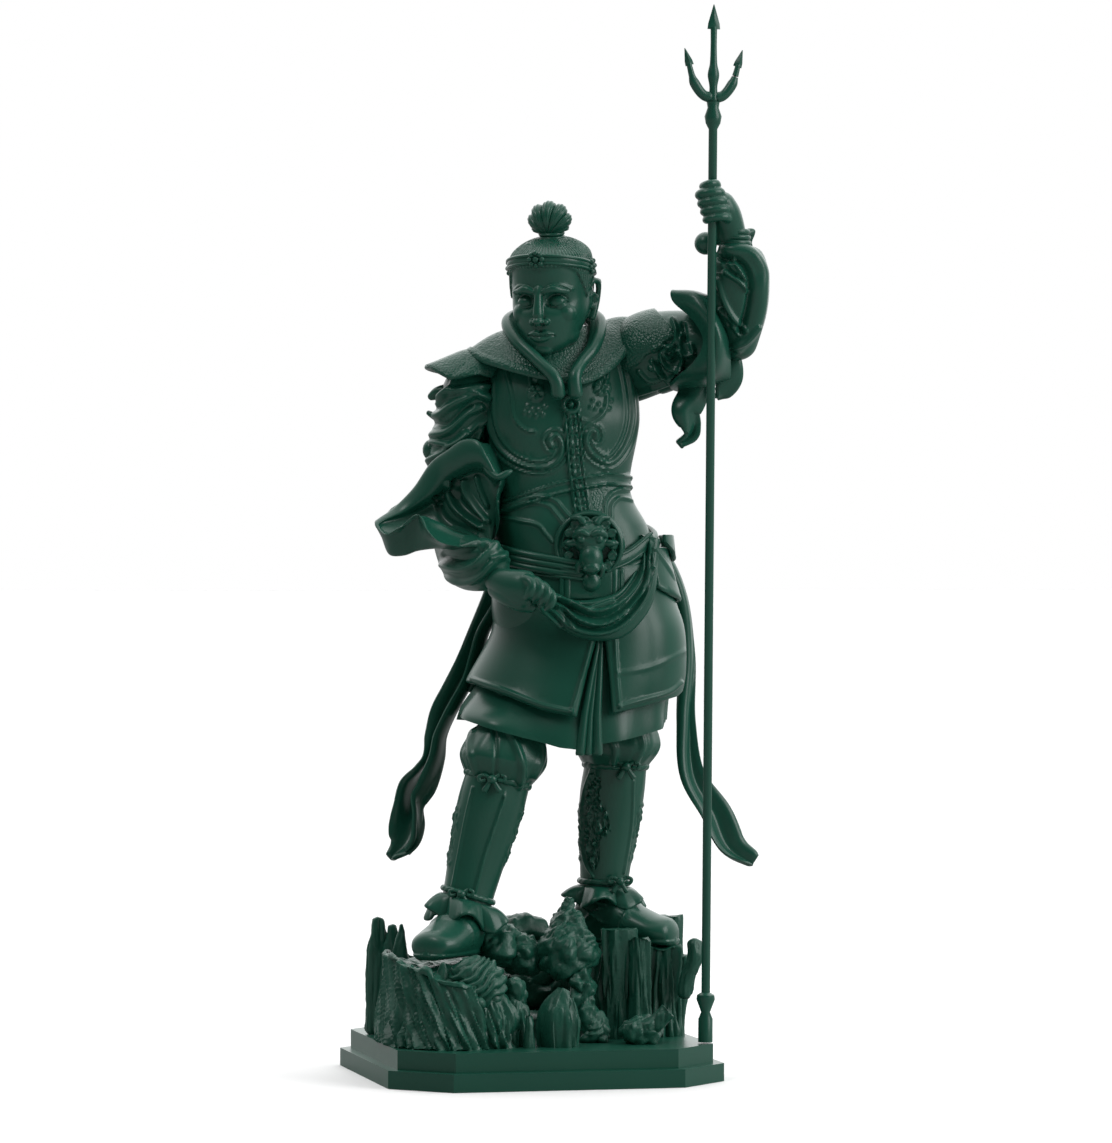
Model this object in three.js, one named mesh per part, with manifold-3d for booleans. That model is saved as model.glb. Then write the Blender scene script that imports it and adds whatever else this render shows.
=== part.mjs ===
// A moulded plastic display figure of a temple guardian in armour. It stands on rocks and tree stumps
// on a stepped plinth, looks down over its right shoulder, gathers a sash in its right hand and holds a
// trident in its raised left hand. Millimetres, +Z up, the figure's chest faces -Y, and the origin is
// the middle of the plinth's underside.
import * as THREE from 'three';
import { mergeVertices } from 'three/addons/utils/BufferGeometryUtils.js';
import Module from 'manifold-3d';

const wasm = await Module();
wasm.setup();

// Driving sizes
const FIGURE_HEIGHT = 178; // from the lower sole to the top of the topknot
const PLINTH_WIDTH = 80;
const PLINTH_DEPTH = 84;
const PLINTH_CHAMFER = 12.7;
const LOWER_TIER = 4.25;
const UPPER_TIER = 4.5;
const TIER_LEDGE = 2.4;
const POLE_DIAMETER = 2.05;
const FORK_RISE = 24.3; // along the pole, from the middle of the fist to the fork
const BUTT_DIAMETER = 3.4;
const BUTT_INSET = 0.1; // from the ferrule to the upper tier's edges
const CLOTH = 1.3; // thickness of sleeves, panels and sash ends
const FIT = 0.3; // clearance round the pole in the fist, and under the shoes and the ferrule

// Worked out from them
const PLINTH_TOP = LOWER_TIER + UPPER_TIER;
const DRAWN_HEIGHT = 178; // the free form's own numbers below are drawn at this height
const SCALE = FIGURE_HEIGHT / DRAWN_HEIGHT;
const PLASTIC = { color: 0x0b3b2c, roughness: 0.42, metalness: 0 };

const V = (x, y, z) => new THREE.Vector3(x, y, z);
// A point of the free form, with z above the plinth's top.
const at = (x, y, z) => V(x, y, z).multiplyScalar(SCALE);
const TURN = 2 * Math.PI;
const UP = V(0, 0, 1);
const ACROSS = V(1, 0, 0);
const AHEAD = V(0, 1, 0);
const mix = (a, b, t) => a + (b - a) * t;
const radians = THREE.MathUtils.degToRad;

// Solids from geometry

function solid(geometry) {
  const bare = geometry.clone();
  for (const name of ['normal', 'uv']) bare.deleteAttribute(name);
  const merged = mergeVertices(bare, 1e-4);
  const mesh = new wasm.Mesh({
    numProp: 3,
    vertProperties: new Float32Array(merged.attributes.position.array),
    triVerts: new Uint32Array(merged.index.array),
  });
  const made = new wasm.Manifold(mesh);
  if (made.volume() > 0) return made;
  for (let i = 0; i < mesh.triVerts.length; i += 3) {
    [mesh.triVerts[i + 1], mesh.triVerts[i + 2]] = [mesh.triVerts[i + 2], mesh.triVerts[i + 1]];
  }
  return new wasm.Manifold(mesh);
}

function indexed(points, faces) {
  const geometry = new THREE.BufferGeometry().setFromPoints(points);
  geometry.setIndex(faces);
  return geometry;
}

const join = (solids) => solids.reduce((whole, piece) => whole.add(piece));

// A closed skin over rings of points, with a fan at each end.
function skin(rings) {
  const sides = rings[0].length;
  const points = rings.flat();
  const faces = [];
  for (let i = 0; i + 1 < rings.length; i++) {
    for (let j = 0; j < sides; j++) {
      const [a, b] = [i * sides + j, i * sides + ((j + 1) % sides)];
      faces.push(a, b, b + sides, a, b + sides, a + sides);
    }
  }
  for (const end of [0, rings.length - 1]) {
    const middle = rings[end].reduce((sum, p) => sum.add(p), V(0, 0, 0)).divideScalar(sides);
    points.push(middle);
    const hub = points.length - 1;
    for (let j = 0; j < sides; j++) {
      const [a, b] = [end * sides + j, end * sides + ((j + 1) % sides)];
      faces.push(...(end === 0 ? [hub, b, a] : [hub, a, b]));
    }
  }
  return solid(indexed(points, faces));
}

// An oval of points with half-axes a and b, and shape(angle) as a factor on its radius.
function oval(centre, a, b, sides, shape = () => 1) {
  return Array.from({ length: sides }, (_, j) => {
    const angle = (TURN * j) / sides;
    const reach = shape(angle);
    return centre.clone()
      .addScaledVector(a, Math.cos(angle) * reach)
      .addScaledVector(b, Math.sin(angle) * reach);
  });
}

// An oval section swept along a smooth path. sizes are [half width along side, half depth] pairs.
function limb(path, sizes, { sides = 8, steps = 6, side = ACROSS, shape = () => 1 } = {}) {
  const curve = new THREE.CatmullRomCurve3(path);
  const halves = new THREE.SplineCurve(sizes.map(([w, d]) => new THREE.Vector2(w, d)));
  const rings = [];
  for (let i = 0; i <= steps; i++) {
    const t = i / steps;
    const along = curve.getTangent(t);
    const a = side.clone().addScaledVector(along, -side.dot(along)).normalize();
    const b = along.clone().cross(a);
    const half = halves.getPoint(t).multiplyScalar(SCALE);
    a.multiplyScalar(half.x);
    b.multiplyScalar(half.y);
    rings.push(oval(curve.getPoint(t), a, b, sides, (angle) => shape(angle, t)));
  }
  return skin(rings);
}

// A sheet with a thickness, from rows of points. A closed sheet joins each row's last point to its first.
function sheet(rows, thickness, closed = false) {
  const [down, across] = [rows.length, rows[0].length];
  const put = (i, j) => rows[THREE.MathUtils.clamp(i, 0, down - 1)][
    closed ? (j + across) % across : THREE.MathUtils.clamp(j, 0, across - 1)];
  const faces = [];
  const layers = [0.5, -0.5].map((share) => rows.map((row, i) => row.map((point, j) => {
    const along = put(i + 1, j).clone().sub(put(i - 1, j));
    const over = put(i, j + 1).clone().sub(put(i, j - 1));
    return point.clone().addScaledVector(along.cross(over).normalize(), share * thickness);
  })));
  const index = (layer, i, j) => layer * down * across + i * across + (j % across);
  const quad = (a, b, c, d) => faces.push(a, b, c, a, c, d);
  const last = closed ? across : across - 1;
  for (let j = 0; j < last; j++) {
    for (let i = 0; i + 1 < down; i++) {
      quad(index(0, i, j), index(0, i + 1, j), index(0, i + 1, j + 1), index(0, i, j + 1));
      quad(index(1, i, j), index(1, i, j + 1), index(1, i + 1, j + 1), index(1, i + 1, j));
    }
    quad(index(0, 0, j), index(0, 0, j + 1), index(1, 0, j + 1), index(1, 0, j));
    quad(index(0, down - 1, j + 1), index(0, down - 1, j), index(1, down - 1, j), index(1, down - 1, j + 1));
  }
  for (let i = 0; !closed && i + 1 < down; i++) {
    quad(index(0, i + 1, 0), index(0, i, 0), index(1, i, 0), index(1, i + 1, 0));
    quad(index(0, i, last), index(0, i + 1, last), index(1, i + 1, last), index(1, i, last));
  }
  return solid(indexed(layers.flat(2), faces));
}

// A strip of cloth along a path: it spans a width along side(t), and ripples across its face.
function ribbon(path, widths, side, { across = 3, steps = 10, ripple = 0, waves = 1 } = {}) {
  const curve = new THREE.CatmullRomCurve3(path);
  const span = new THREE.SplineCurve(widths.map((w, i) => new THREE.Vector2(i, w)));
  const rows = [];
  for (let i = 0; i <= steps; i++) {
    const t = i / steps;
    const along = curve.getTangent(t);
    const out = side(t).clone().addScaledVector(along, -side(t).dot(along)).normalize();
    const face = along.clone().cross(out);
    rows.push(Array.from({ length: across + 1 }, (_, j) => {
      const share = j / across - 0.5;
      const rise = ripple * Math.sin(TURN * (waves * (share + t)));
      return curve.getPoint(t)
        .addScaledVector(out, share * span.getPoint(t).y * SCALE)
        .addScaledVector(face, rise * SCALE);
    }));
  }
  return sheet(rows, CLOTH);
}

// A smooth cloth shell through closed loops of points, from a ring round the arm out to the free edge.
function shell(loops, around, down) {
  const rounds = loops.map((loop) => {
    const curve = new THREE.CatmullRomCurve3(loop, true);
    return Array.from({ length: around }, (_, j) => curve.getPoint(j / around));
  });
  const strands = rounds[0].map((_, j) => new THREE.CatmullRomCurve3(rounds.map((round) => round[j])));
  const rows = Array.from({ length: down + 1 }, (_, i) => strands.map((strand) => strand.getPoint(i / down)));
  return sheet(rows, CLOTH, true);
}

// An ellipsoid, turned as a frame is.
function blob(centre, halves, frame = new THREE.Matrix4(), detail = [5, 3]) {
  const geometry = new THREE.SphereGeometry(1, ...detail);
  geometry.scale(halves[0] * SCALE, halves[1] * SCALE, halves[2] * SCALE);
  geometry.applyMatrix4(new THREE.Matrix4().extractRotation(frame));
  geometry.translate(centre.x, centre.y, centre.z);
  return solid(geometry);
}

// The trunk of the body: [height, x, y, half width, half depth] from the hips to the neck
const TRUNK = [
  [90, 11, 1, 17.4, 13.4],
  [101, 12, 0.5, 20.5, 15],
  [113, 11.6, 0, 19.5, 14.8],
  [121, 10, 0, 18.4, 13.9],
  [130.5, 8.3, 0.6, 16, 12.4],
  [147, 8.3, 1.7, 18.6, 14],
  [160.5, 8, 2.4, 16.4, 11],
  [168, 7, 1.5, 8, 6.5],
];
const SQUARED = 2.3; // the trunk's sections are ovals a little squared

function trunkAt(z) {
  const last = TRUNK.length - 2;
  const i = Math.min(last, Math.max(0, TRUNK.findIndex((row) => row[0] > z) - 1));
  const [low, high] = [TRUNK[i], TRUNK[i + 1]];
  const t = (z - low[0]) / (high[0] - low[0]);
  return low.map((value, k) => mix(value, high[k], t));
}

// A point on the front of the trunk, seen from the front, standing proud of it by rise.
function onFront(x, z, rise = 0) {
  const [, cx, cy, half, depth] = trunkAt(z);
  const share = Math.min(0.98, Math.abs((x - cx) / half));
  return at(x, cy - depth * (1 - share ** SQUARED) ** (1 / SQUARED) - rise, z);
}

const squaredOval = (angle) => {
  const [c, s] = [Math.abs(Math.cos(angle)), Math.abs(Math.sin(angle))];
  return (c ** SQUARED + s ** SQUARED) ** (-1 / SQUARED);
};

const trunk = () => skin(TRUNK.map(([z, x, y, half, depth]) => oval(
  at(x, y, z), at(half, 0, 0), at(0, depth, 0), 12, squaredOval)));

// A raised line on the cuirass through [x, z] points.
function rim(points, radius = 0.9, rise = 0.5) {
  const path = points.map(([x, z]) => onFront(x, z, rise));
  return limb(path, [[radius, radius], [radius, radius]], { sides: 3, steps: points.length - 1, side: AHEAD });
}

function breastplate() {
  const middle = 8.4; // where the centre band runs on the chest
  const sides = [-1, 1].map((side) => {
    const x = (out) => middle + side * out;
    // down from the shoulder, round under the breast, and up into a scroll beside the centre band
    return rim([[x(14), 158], [x(15.4), 150], [x(14), 143], [x(9.6), 138.3], [x(5.4), 138.8], [x(3.6), 142]]);
  });
  const band = rim([[7.6, 149], [9.2, 138], [9.8, 130.5], [10.6, 123]], 1.5, -0.4);
  const waistLine = rim([[-5, 127], [3, 129.6], [10, 131], [18, 131.4], [23, 129.6]], 1, 0.2);
  const bellyLine = rim([[-4, 124], [0, 125.8], [3.4, 125.4], [5.2, 121.6], [7.4, 119.8]], 0.9);
  return join([...sides, band, waistLine, bellyLine, blob(onFront(7.6, 150.5, 0.4), [1.9, 1.2, 1.9])]);
}

// The wide collar plate over both shoulders, pointed at the shoulder tips.
function cape() {
  // t runs from the neck to the edge, and drop is how far below the plate's face the ring lies
  const ring = (t, drop = 0) => Array.from({ length: 18 }, (_, j) => {
    const angle = (TURN * j) / 18;
    const [c, s] = [Math.cos(angle), Math.sin(angle)];
    const point = Math.abs(c) ** 1.5; // 1 at the shoulder tips, 0 at front and back
    const edge = [6.2 + c * mix(17, 20.8, point), 1.5 + s * 14.8, mix(154, 164.4, point) + 3.6 * c];
    const neck = [6.8 + c * 8.4, 1 + s * 8, 168.5];
    const bow = Math.sin(t * Math.PI) * 1.2;
    return at(mix(neck[0], edge[0], t), mix(neck[1], edge[1], t), mix(neck[2], edge[2], t) + bow)
      .addScaledVector(UP, -drop);
  });
  return skin([ring(0), ring(0.5), ring(1), ring(1, CLOTH)]);
}

// The rolled scarf: down from the nape on each side of the neck, to two rounded tongues on the chest.
function scarf() {
  const path = [at(4.4, -17.4, 150), at(3.4, -16.6, 153.6), at(0.4, -13.6, 158.5), at(-3.6, -5.5, 166),
    at(-1.5, 4, 170), at(6.5, 8.6, 171.4), at(14.4, 4, 171), at(15.8, -3.4, 167.6), at(13.4, -11, 161.5),
    at(9.4, -16.6, 155.6), at(9, -17.8, 150)];
  const sizes = [[1.3, 0.9], [2.3, 1.7], [2, 1.9], [2.1, 2], [2.1, 2], [2.1, 2], [2.1, 2], [2.1, 2], [2, 1.9],
    [2.3, 1.7], [1.3, 0.9]];
  return limb(path, sizes, { sides: 5, steps: 10, side: V(0.2, 0.2, 1) });
}

// The head has a frame of its own: bowed, turned to its right, and facing -Y in it.
const HEAD = new THREE.Matrix4()
  .makeTranslation(at(4.7, -4.6, 176.1))
  .multiply(new THREE.Matrix4().makeRotationZ(radians(-31)))
  .multiply(new THREE.Matrix4().makeRotationX(radians(12)));
const onHead = (x, y, z) => at(x, y, z).applyMatrix4(HEAD);
const headRing = (y, z, half, depth, sides) => oval(
  onHead(0, y, z),
  at(half, 0, 0).transformDirection(HEAD).multiplyScalar(half * SCALE),
  at(0, depth, 0).transformDirection(HEAD).multiplyScalar(depth * SCALE),
  sides,
);

// The head up to the topknot: [y, height, half width, half depth] from the chin, with the diadem as a step
const SKULL = [
  [-6.2, -13, 2.6, 2.6],
  [-5, -11.8, 5, 5.4],
  [-3.2, -9, 7, 7.8],
  [-1.5, -5, 8.4, 9.7],
  [-0.6, 0, 9.1, 10.6],
  [0, 6, 9.3, 10.8],
  [0.2, 6.5, 10.1, 11.6],
  [0.2, 8.2, 10, 11.5],
  [0.3, 8.5, 9, 10.3],
  [0.5, 10.6, 7.3, 8.4],
  [0.6, 12, 2.9, 2.9],
  [0.6, 16, 2.5, 2.5],
];

function face() {
  const nose = skin([[-9.6, 3.2, 1, 0.7], [-10.6, 0.5, 1.5, 1.4], [-11, -2.6, 2, 2.3], [-9.6, -4.2, 1.8, 2]]
    .map(([y, z, half, depth]) => headRing(y, z, half, depth, 4)));
  const sides = [-1, 1].flatMap((side) => [
    limb([onHead(side * 1.4, -10.7, 2.9), onHead(side * 4.2, -10, 3.7), onHead(side * 7, -7.6, 3)],
      [[0.5, 0.5], [0.9, 0.9], [0.4, 0.4]], { sides: 3, steps: 2, side: UP }),
    blob(onHead(side * 3.7, -9, 0.6), [1.7, 1.2, 0.9], HEAD),
    blob(onHead(side * 9.2, 1, -1.4), [1.1, 2, 3.6], HEAD),
  ]);
  return join([nose, ...sides, blob(onHead(0, -10.4, -7.3), [3, 1.2, 0.9], HEAD),
    blob(onHead(0, -9.2, -10.8), [2.6, 1.6, 1.6], HEAD)]);
}

// The topknot: a bun drawn into lobes that fan out over the post.
function bun() {
  const [around, down, lobes] = [12, 4, 6];
  const geometry = new THREE.SphereGeometry(1, around, down);
  const position = geometry.getAttribute('position');
  for (let i = 0; i < position.count; i++) {
    const [x, y, z] = [position.getX(i), position.getY(i), position.getZ(i)];
    const lobe = 1 - 0.12 * Math.cos(lobes * Math.atan2(y, x)) * Math.hypot(x, y);
    const point = onHead(0.3 + 5.6 * x * lobe, 0.4 + 3.4 * z, 17 + 4.2 * y * lobe);
    position.setXYZ(i, point.x, point.y, point.z);
  }
  return solid(geometry);
}

function head() {
  const skull = skin(SKULL.map((station) => headRing(...station, 12)));
  const neck = limb([at(6.8, 2, 158), at(6, 0.5, 166), at(5.2, -1.5, 173)], [[6.4, 6], [5.8, 5.6], [6, 6]],
    { steps: 2 });
  const rosettes = [-100, -5, 90].map((degrees) => {
    const middle = onHead(9.9 * Math.sin(radians(degrees)), 0.2 - 11.4 * Math.cos(radians(degrees)), 7.4);
    return blob(middle, [1.6, 1.1, 1.6], HEAD, [4, 2]);
  });
  return join([skull, neck, face(), ...rosettes, bun()]);
}

// The skirts hang from the belt and flare down. angle 0 is at the front and turns to the figure's left.
const SKIRT_TOP = 113;
const PANEL_HEM = 77;
const SKIRT_HEM = 66.8;

function onSkirt(angle, z, out, centre, half) {
  const share = (SKIRT_TOP - z) / (SKIRT_TOP - SKIRT_HEM);
  const [reach, depth] = [mix(19.6, half, share) + out, mix(15, half * 0.74, share) + out];
  const [x, y] = [mix(11.7, centre, share), 0.5 * share];
  return at(x + reach * Math.sin(angle), y - depth * Math.cos(angle), z);
}

function underSkirt() {
  const around = 24;
  const hemAt = (angle) => SKIRT_HEM + 8.4 * Math.sin(angle) ** 2 - Math.sin(angle);
  const rings = [[0, 0, 11.4, 24], [0.8, -0.5, 10.6, 24.4], [1, 0, 8, 27]]; // [share, out, centre, half]
  return skin(rings.map(([share, out, centre, half]) => Array.from({ length: around }, (_, j) => {
    const angle = (-TURN * j) / around;
    const pleat = 0.9 * share * Math.sin(8 * angle);
    return onSkirt(angle, mix(SKIRT_TOP, hemAt(angle), share), out + pleat, centre, half);
  })));
}

// The armoured panels over the skirt, parted by slits, with a border along the hem.
function skirtPanels() {
  const panels = [[12, 96], [100, 177], [183, 260], [264, 350]]; // degrees at the hem, from the front
  const across = 5;
  const ring = (share, out) => panels.flatMap(([from, to]) => Array.from({ length: across + 2 }, (_, j) => {
    const inSlit = j === 0 || j === across + 1;
    const side = THREE.MathUtils.clamp((j - 1) / (across - 1), 0, 1);
    const lean = 9 * (1 - share) * Math.cos(radians(mix(from, to, side) / 2));
    const angle = radians(mix(from, to, side) - lean);
    const hem = PANEL_HEM + 6.3 * Math.sin(angle) ** 2 - 2 * Math.sin(angle);
    return onSkirt(angle, mix(SKIRT_TOP - 2, hem, share), inSlit ? -1.5 : out, 11.2, 24.6);
  }));
  return skin([ring(0, 1.4), ring(0.93, 1.6), ring(0.94, 2.4), ring(1, 2.4)]);
}

// The belt, and the beast-head buckle on its disc.
function belt() {
  const strap = [[0, 1.2], [2.9, 1.2]].map(([up, out]) => Array.from(
    { length: 12 }, (_, j) => {
      const angle = (TURN * j) / 12;
      const [c, s] = [Math.cos(angle), Math.sin(angle)];
      const reach = squaredOval(angle);
      return at(11.6 + c * (19.8 + out) * reach, s * (15 + out) * reach, 109.6 + up + 1.5 * s + 1.2 * c);
    }));
  const disc = limb([onFront(11, 116.2, -1.5), onFront(11, 116.2, 1.4)], [[7.3, 7.3], [6.9, 6.9]],
    { sides: 10, steps: 1 });
  const beast = [[0, -2.4, 2.8, 5.4], [0, 2.6, 5, 2.4], [-4.2, -3.2, 1.7, 3], [4.2, -3.2, 1.7, 3]]
    .map(([x, z, wide, tall]) => blob(onFront(11 + x, 116.2 + z, 1.6), [wide, 2.2, tall]));
  return join([skin(strap), disc, ...beast]);
}

// The sash gathered in the right hand, swagged over the skirts and tied at the left hip.
const swag = () => limb(
  [at(-2.5, -24, 104), at(1, -23.6, 102.2), at(5.5, -22.4, 99.8), at(11.2, -20.4, 98.2), at(18, -18.6, 101.4),
    at(24.8, -13.4, 109.4), at(27.6, -8, 115), at(28.6, -2.4, 117.6)],
  [[1.8, 1.8], [2.6, 2], [3.7, 2.4], [4.7, 2.6], [4.6, 2.6], [3.2, 2.4], [2.3, 2.2], [1.8, 2]],
  { sides: 8, steps: 8, side: UP, shape: (angle, t) => 1 + 0.14 * Math.sin(4 * angle + 4 * t) },
);

// Two sash ends that fall beside the legs and curl at their tips.
function sashEnds() {
  const turning = (from, to) => (t) => V(Math.cos(mix(from, to, t)), Math.sin(mix(from, to, t)), 0);
  const right = ribbon([at(-4.4, 5, 112), at(-7, 9, 102), at(-9.6, 12, 92), at(-13.2, 12.5, 85),
    at(-18.1, 12, 75.4), at(-20.8, 12, 67), at(-25.5, 11, 58.7), at(-27.4, 10, 51), at(-28, 9, 45.6),
    at(-31.4, 8, 42)],
  [5, 5, 5, 5.4, 6, 7.4, 10, 9.4, 8.6, 3], turning(0.2, -0.4), { ripple: 1.3, waves: 1.3, steps: 9 });
  const left = ribbon([at(27.5, 8, 118), at(34.5, 9.5, 113.5), at(39.6, 10, 104), at(41.6, 10, 90),
    at(40.6, 8, 74.5), at(41.4, 6, 61), at(46.6, 4, 52), at(50.6, 3, 44.5), at(56.2, 2, 40.8)],
  [5, 5, 4.6, 4.6, 5, 7, 8.4, 7.5, 3], turning(0.1, 0.3), { ripple: 1.1, waves: 1, steps: 9 });
  return join([right, left]);
}

// Down a leg as shares of the way from knee to ankle: [share, half width, half depth, fluting]
const LEG = [
  [-0.42, 7.8, 7.4, 0.04],
  [-0.12, 10.4, 9.6, 0.05],
  [0.02, 7.6, 7.6, 0.02],
  [0.03, 8.2, 8.2, 0],
  [0.09, 8.1, 8.1, 0],
  [0.1, 7.5, 7.4, 0.03],
  [0.36, 7.6, 7.6, 0.03],
  [0.7, 6.5, 6.5, 0.03],
  [0.9, 5.8, 5.7, 0.03],
  [0.92, 6.8, 6.8, 0.02],
  [1.12, 8.4, 8.2, 0.14],
];

// A leg: full trousers gathered under the knee, a tie, a shin guard, and a ruffled tie at the ankle.
function leg({ hip, knee, ankle, toe }) {
  const sides = 10;
  const rings = LEG.map(([share, wide, deep, flute]) => oval(
    knee.clone().lerp(ankle, share).add(at(0, 5 * Math.max(0, share) * Math.max(0, 1 - share), 0)),
    at(wide, 0, 0), at(0, deep, 0), sides, (angle) => 1 + flute * Math.sin(5 * angle + 0.3)));
  rings.unshift(oval(hip, at(9, 0, 0), at(0, 9, 0), sides));
  return skin(rings).add(shoe(ankle, toe));
}

// Along a shoe: [share of the way from ankle to toe, half width, height of its top above the sole]
const SHOE = [
  [-0.42, 3.2, 7],
  [-0.28, 5, 12],
  [0.1, 5.9, 14],
  [0.45, 6.2, 10.6],
  [0.75, 6.3, 8.4],
  [0.94, 5, 7.4],
  [1.04, 3, 5.6],
];

// A soft shoe with a blunt toe and a flat sole. grow makes the hollow that it stands in.
function shoe(ankle, toe, grow = 0) {
  const [sides, flatFrom] = [8, 0.9];
  const way = V(toe.x - ankle.x, toe.y - ankle.y, 0);
  const ahead = way.clone().normalize();
  const across = V(-ahead.y, ahead.x, 0);
  return skin(SHOE.map(([share, half, top], i) => {
    const middle = ankle.clone().addScaledVector(way, share);
    if (i === 0 || i === SHOE.length - 1) middle.addScaledVector(ahead, i ? grow : -grow);
    middle.z = toe.z + (top * SCALE) / 2;
    return Array.from({ length: sides }, (_, j) => {
      const angle = (TURN * j) / sides;
      const up = Math.sin(angle) < 0 ? Math.max(-1, Math.sin(angle) / flatFrom) : Math.sin(angle);
      return middle.clone()
        .addScaledVector(across, Math.cos(angle) * (half * SCALE + grow))
        .addScaledVector(UP, up * ((top * SCALE) / 2 + grow));
    });
  }));
}

const STANCE = [
  { hip: at(2.5, 1, 92), knee: at(-7.8, -7, 66), ankle: at(-16.6, -7, 33), toe: at(-29, -20.5, 20) },
  { hip: at(20.5, 3, 92), knee: at(21.8, 1, 67), ankle: at(19.4, 4.6, 35), toe: at(33.8, -6, 21.4) },
];

// A hand: the palm's path and sizes, and one path for each finger.
const hand = (palm, sizes, side, fingers, thickness) => join([
  limb(palm, sizes, { sides: 6, steps: 3, side }),
  ...fingers.map((path) => limb(path, [[thickness, thickness], [thickness * 0.8, thickness * 0.8]],
    { sides: 4, steps: path.length - 1, side })),
]);

// A ring of points round an arm, in step with the loops of a shell that starts on it.
function armRing(centre, radius, a, b, count) {
  const [over, ahead] = [a, b].map((way) => way.clone().multiplyScalar(radius * SCALE));
  return oval(centre, over, ahead, count);
}

function rightArm() {
  // shoulder, upper arm, elbow, then forward to the cuff
  const path = [at(-9, 3, 162), at(-13.4, 4, 156.5), at(-15.8, 5.5, 148), at(-16.6, 7, 138), at(-17, 8, 128),
    at(-16.8, 6, 118), at(-16.2, -3, 112.4), at(-15, -10.6, 111.4), at(-12.4, -16, 110.8),
    at(-11, -18.6, 109.6)];
  const arm = limb(path, [[6, 6], [6.8, 7.2], [6.7, 7.2], [6.4, 7], [6.2, 6.6], [5.6, 6.4], [5.8, 6.6],
    [5.2, 5.8], [4.4, 4.4], [4.2, 4.2]],
  { sides: 8, steps: 10, shape: (angle, t) => 1 + 0.05 * Math.sin(3 * angle + 22 * t) });
  const guard = sheet([0, 0.5, 1].map((t) => Array.from({ length: 6 }, (_, j) => {
    const angle = radians(mix(-110, 130, j / 5));
    const reach = mix(5, 8.8, t ** 0.7);
    return at(mix(-10.6, -15.4, t) - reach * Math.cos(angle), mix(2.6, 4.4, t) - reach * Math.sin(angle),
      mix(165.4, 157, t) + 1.6 * t * Math.cos(angle));
  })), CLOTH);
  const rimLoop = [[-8.6, -10, 133.4], [-11.5, -9, 138.3], [-14.9, -6, 141], [-19.4, -1, 138.5],
    [-23.1, 4, 133.8], [-28.1, 6, 126.5], [-34, 6, 121.4], [-36.6, 3, 120.6], [-34.8, -1, 118.6],
    [-28.5, -7, 122.6], [-26.2, -10, 118.8], [-20, -14.5, 115.9], [-12.1, -14, 116.7], [-9.5, -10.5, 123]]
    .map((point) => at(...point));
  const bellyLoop = [[-8.2, -4, 131], [-11, -4, 134], [-15.4, -3, 136], [-20, 2, 135], [-22.6, 9, 131],
    [-23.6, 13, 125], [-28, 12, 119.4], [-32.2, 8, 116.3], [-32.6, 2, 114.3], [-29.4, 0, 114.2], [-26.5, -4, 115],
    [-21, -8, 114.8], [-12.4, -9, 115], [-8.6, -6, 122.4]].map((point) => at(...point));
  const ring = armRing(at(-17.2, 8, 126), 6.4, ACROSS, AHEAD.clone().negate(), rimLoop.length);
  const sleeve = shell([ring, bellyLoop, rimLoop], 12, 2);
  const fingers = [0, 1, 2, 3].map((k) => [
    at(-2.6 - 1.1 * k, -25.6 - 0.4 * k, 107.4 - 1.5 * k), at(0.4 - 1.5 * k, -25 - 0.4 * k, 104.6 - 1.2 * k),
    at(-1 - 1.4 * k, -22.6, 101.8 - 0.3 * k)]);
  const fist = hand([at(-12.4, -17.4, 109.8), at(-7.4, -22, 107.4), at(-3.6, -24.6, 105.4)],
    [[3.2, 2.8], [4.4, 3], [4.2, 2.6]], V(0.4, -0.4, -1), fingers, 1.5);
  const thumb = limb([at(-8, -20, 109.4), at(-2.4, -22.6, 109), at(0.4, -23.6, 105.6)],
    [[1.8, 1.8], [1.7, 1.7], [1.3, 1.3]], { sides: 5, steps: 3, side: UP });
  return join([arm, guard, sleeve, fist, thumb]);
}

// The pole's line, from its seat near the plinth's corner up through the fist.
const GRIP = at(38.3, -25, 196);
const UPPER_CUT = PLINTH_CHAMFER - TIER_LEDGE * (2 - Math.SQRT2); // the upper tier's cut corner
const SEAT = BUTT_DIAMETER / 2 + BUTT_INSET; // from the pole's line to the upper tier's edges
const FOOT_X = PLINTH_WIDTH / 2 - TIER_LEDGE - SEAT;
const POLE_FOOT = V(
  FOOT_X,
  FOOT_X - (PLINTH_WIDTH / 2 + PLINTH_DEPTH / 2 - 2 * TIER_LEDGE - UPPER_CUT) + Math.SQRT2 * SEAT,
  FIT,
);
const POLE_WAY = GRIP.clone().sub(POLE_FOOT).normalize();
const POLE_LENGTH = GRIP.distanceTo(POLE_FOOT) + FORK_RISE;

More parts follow.
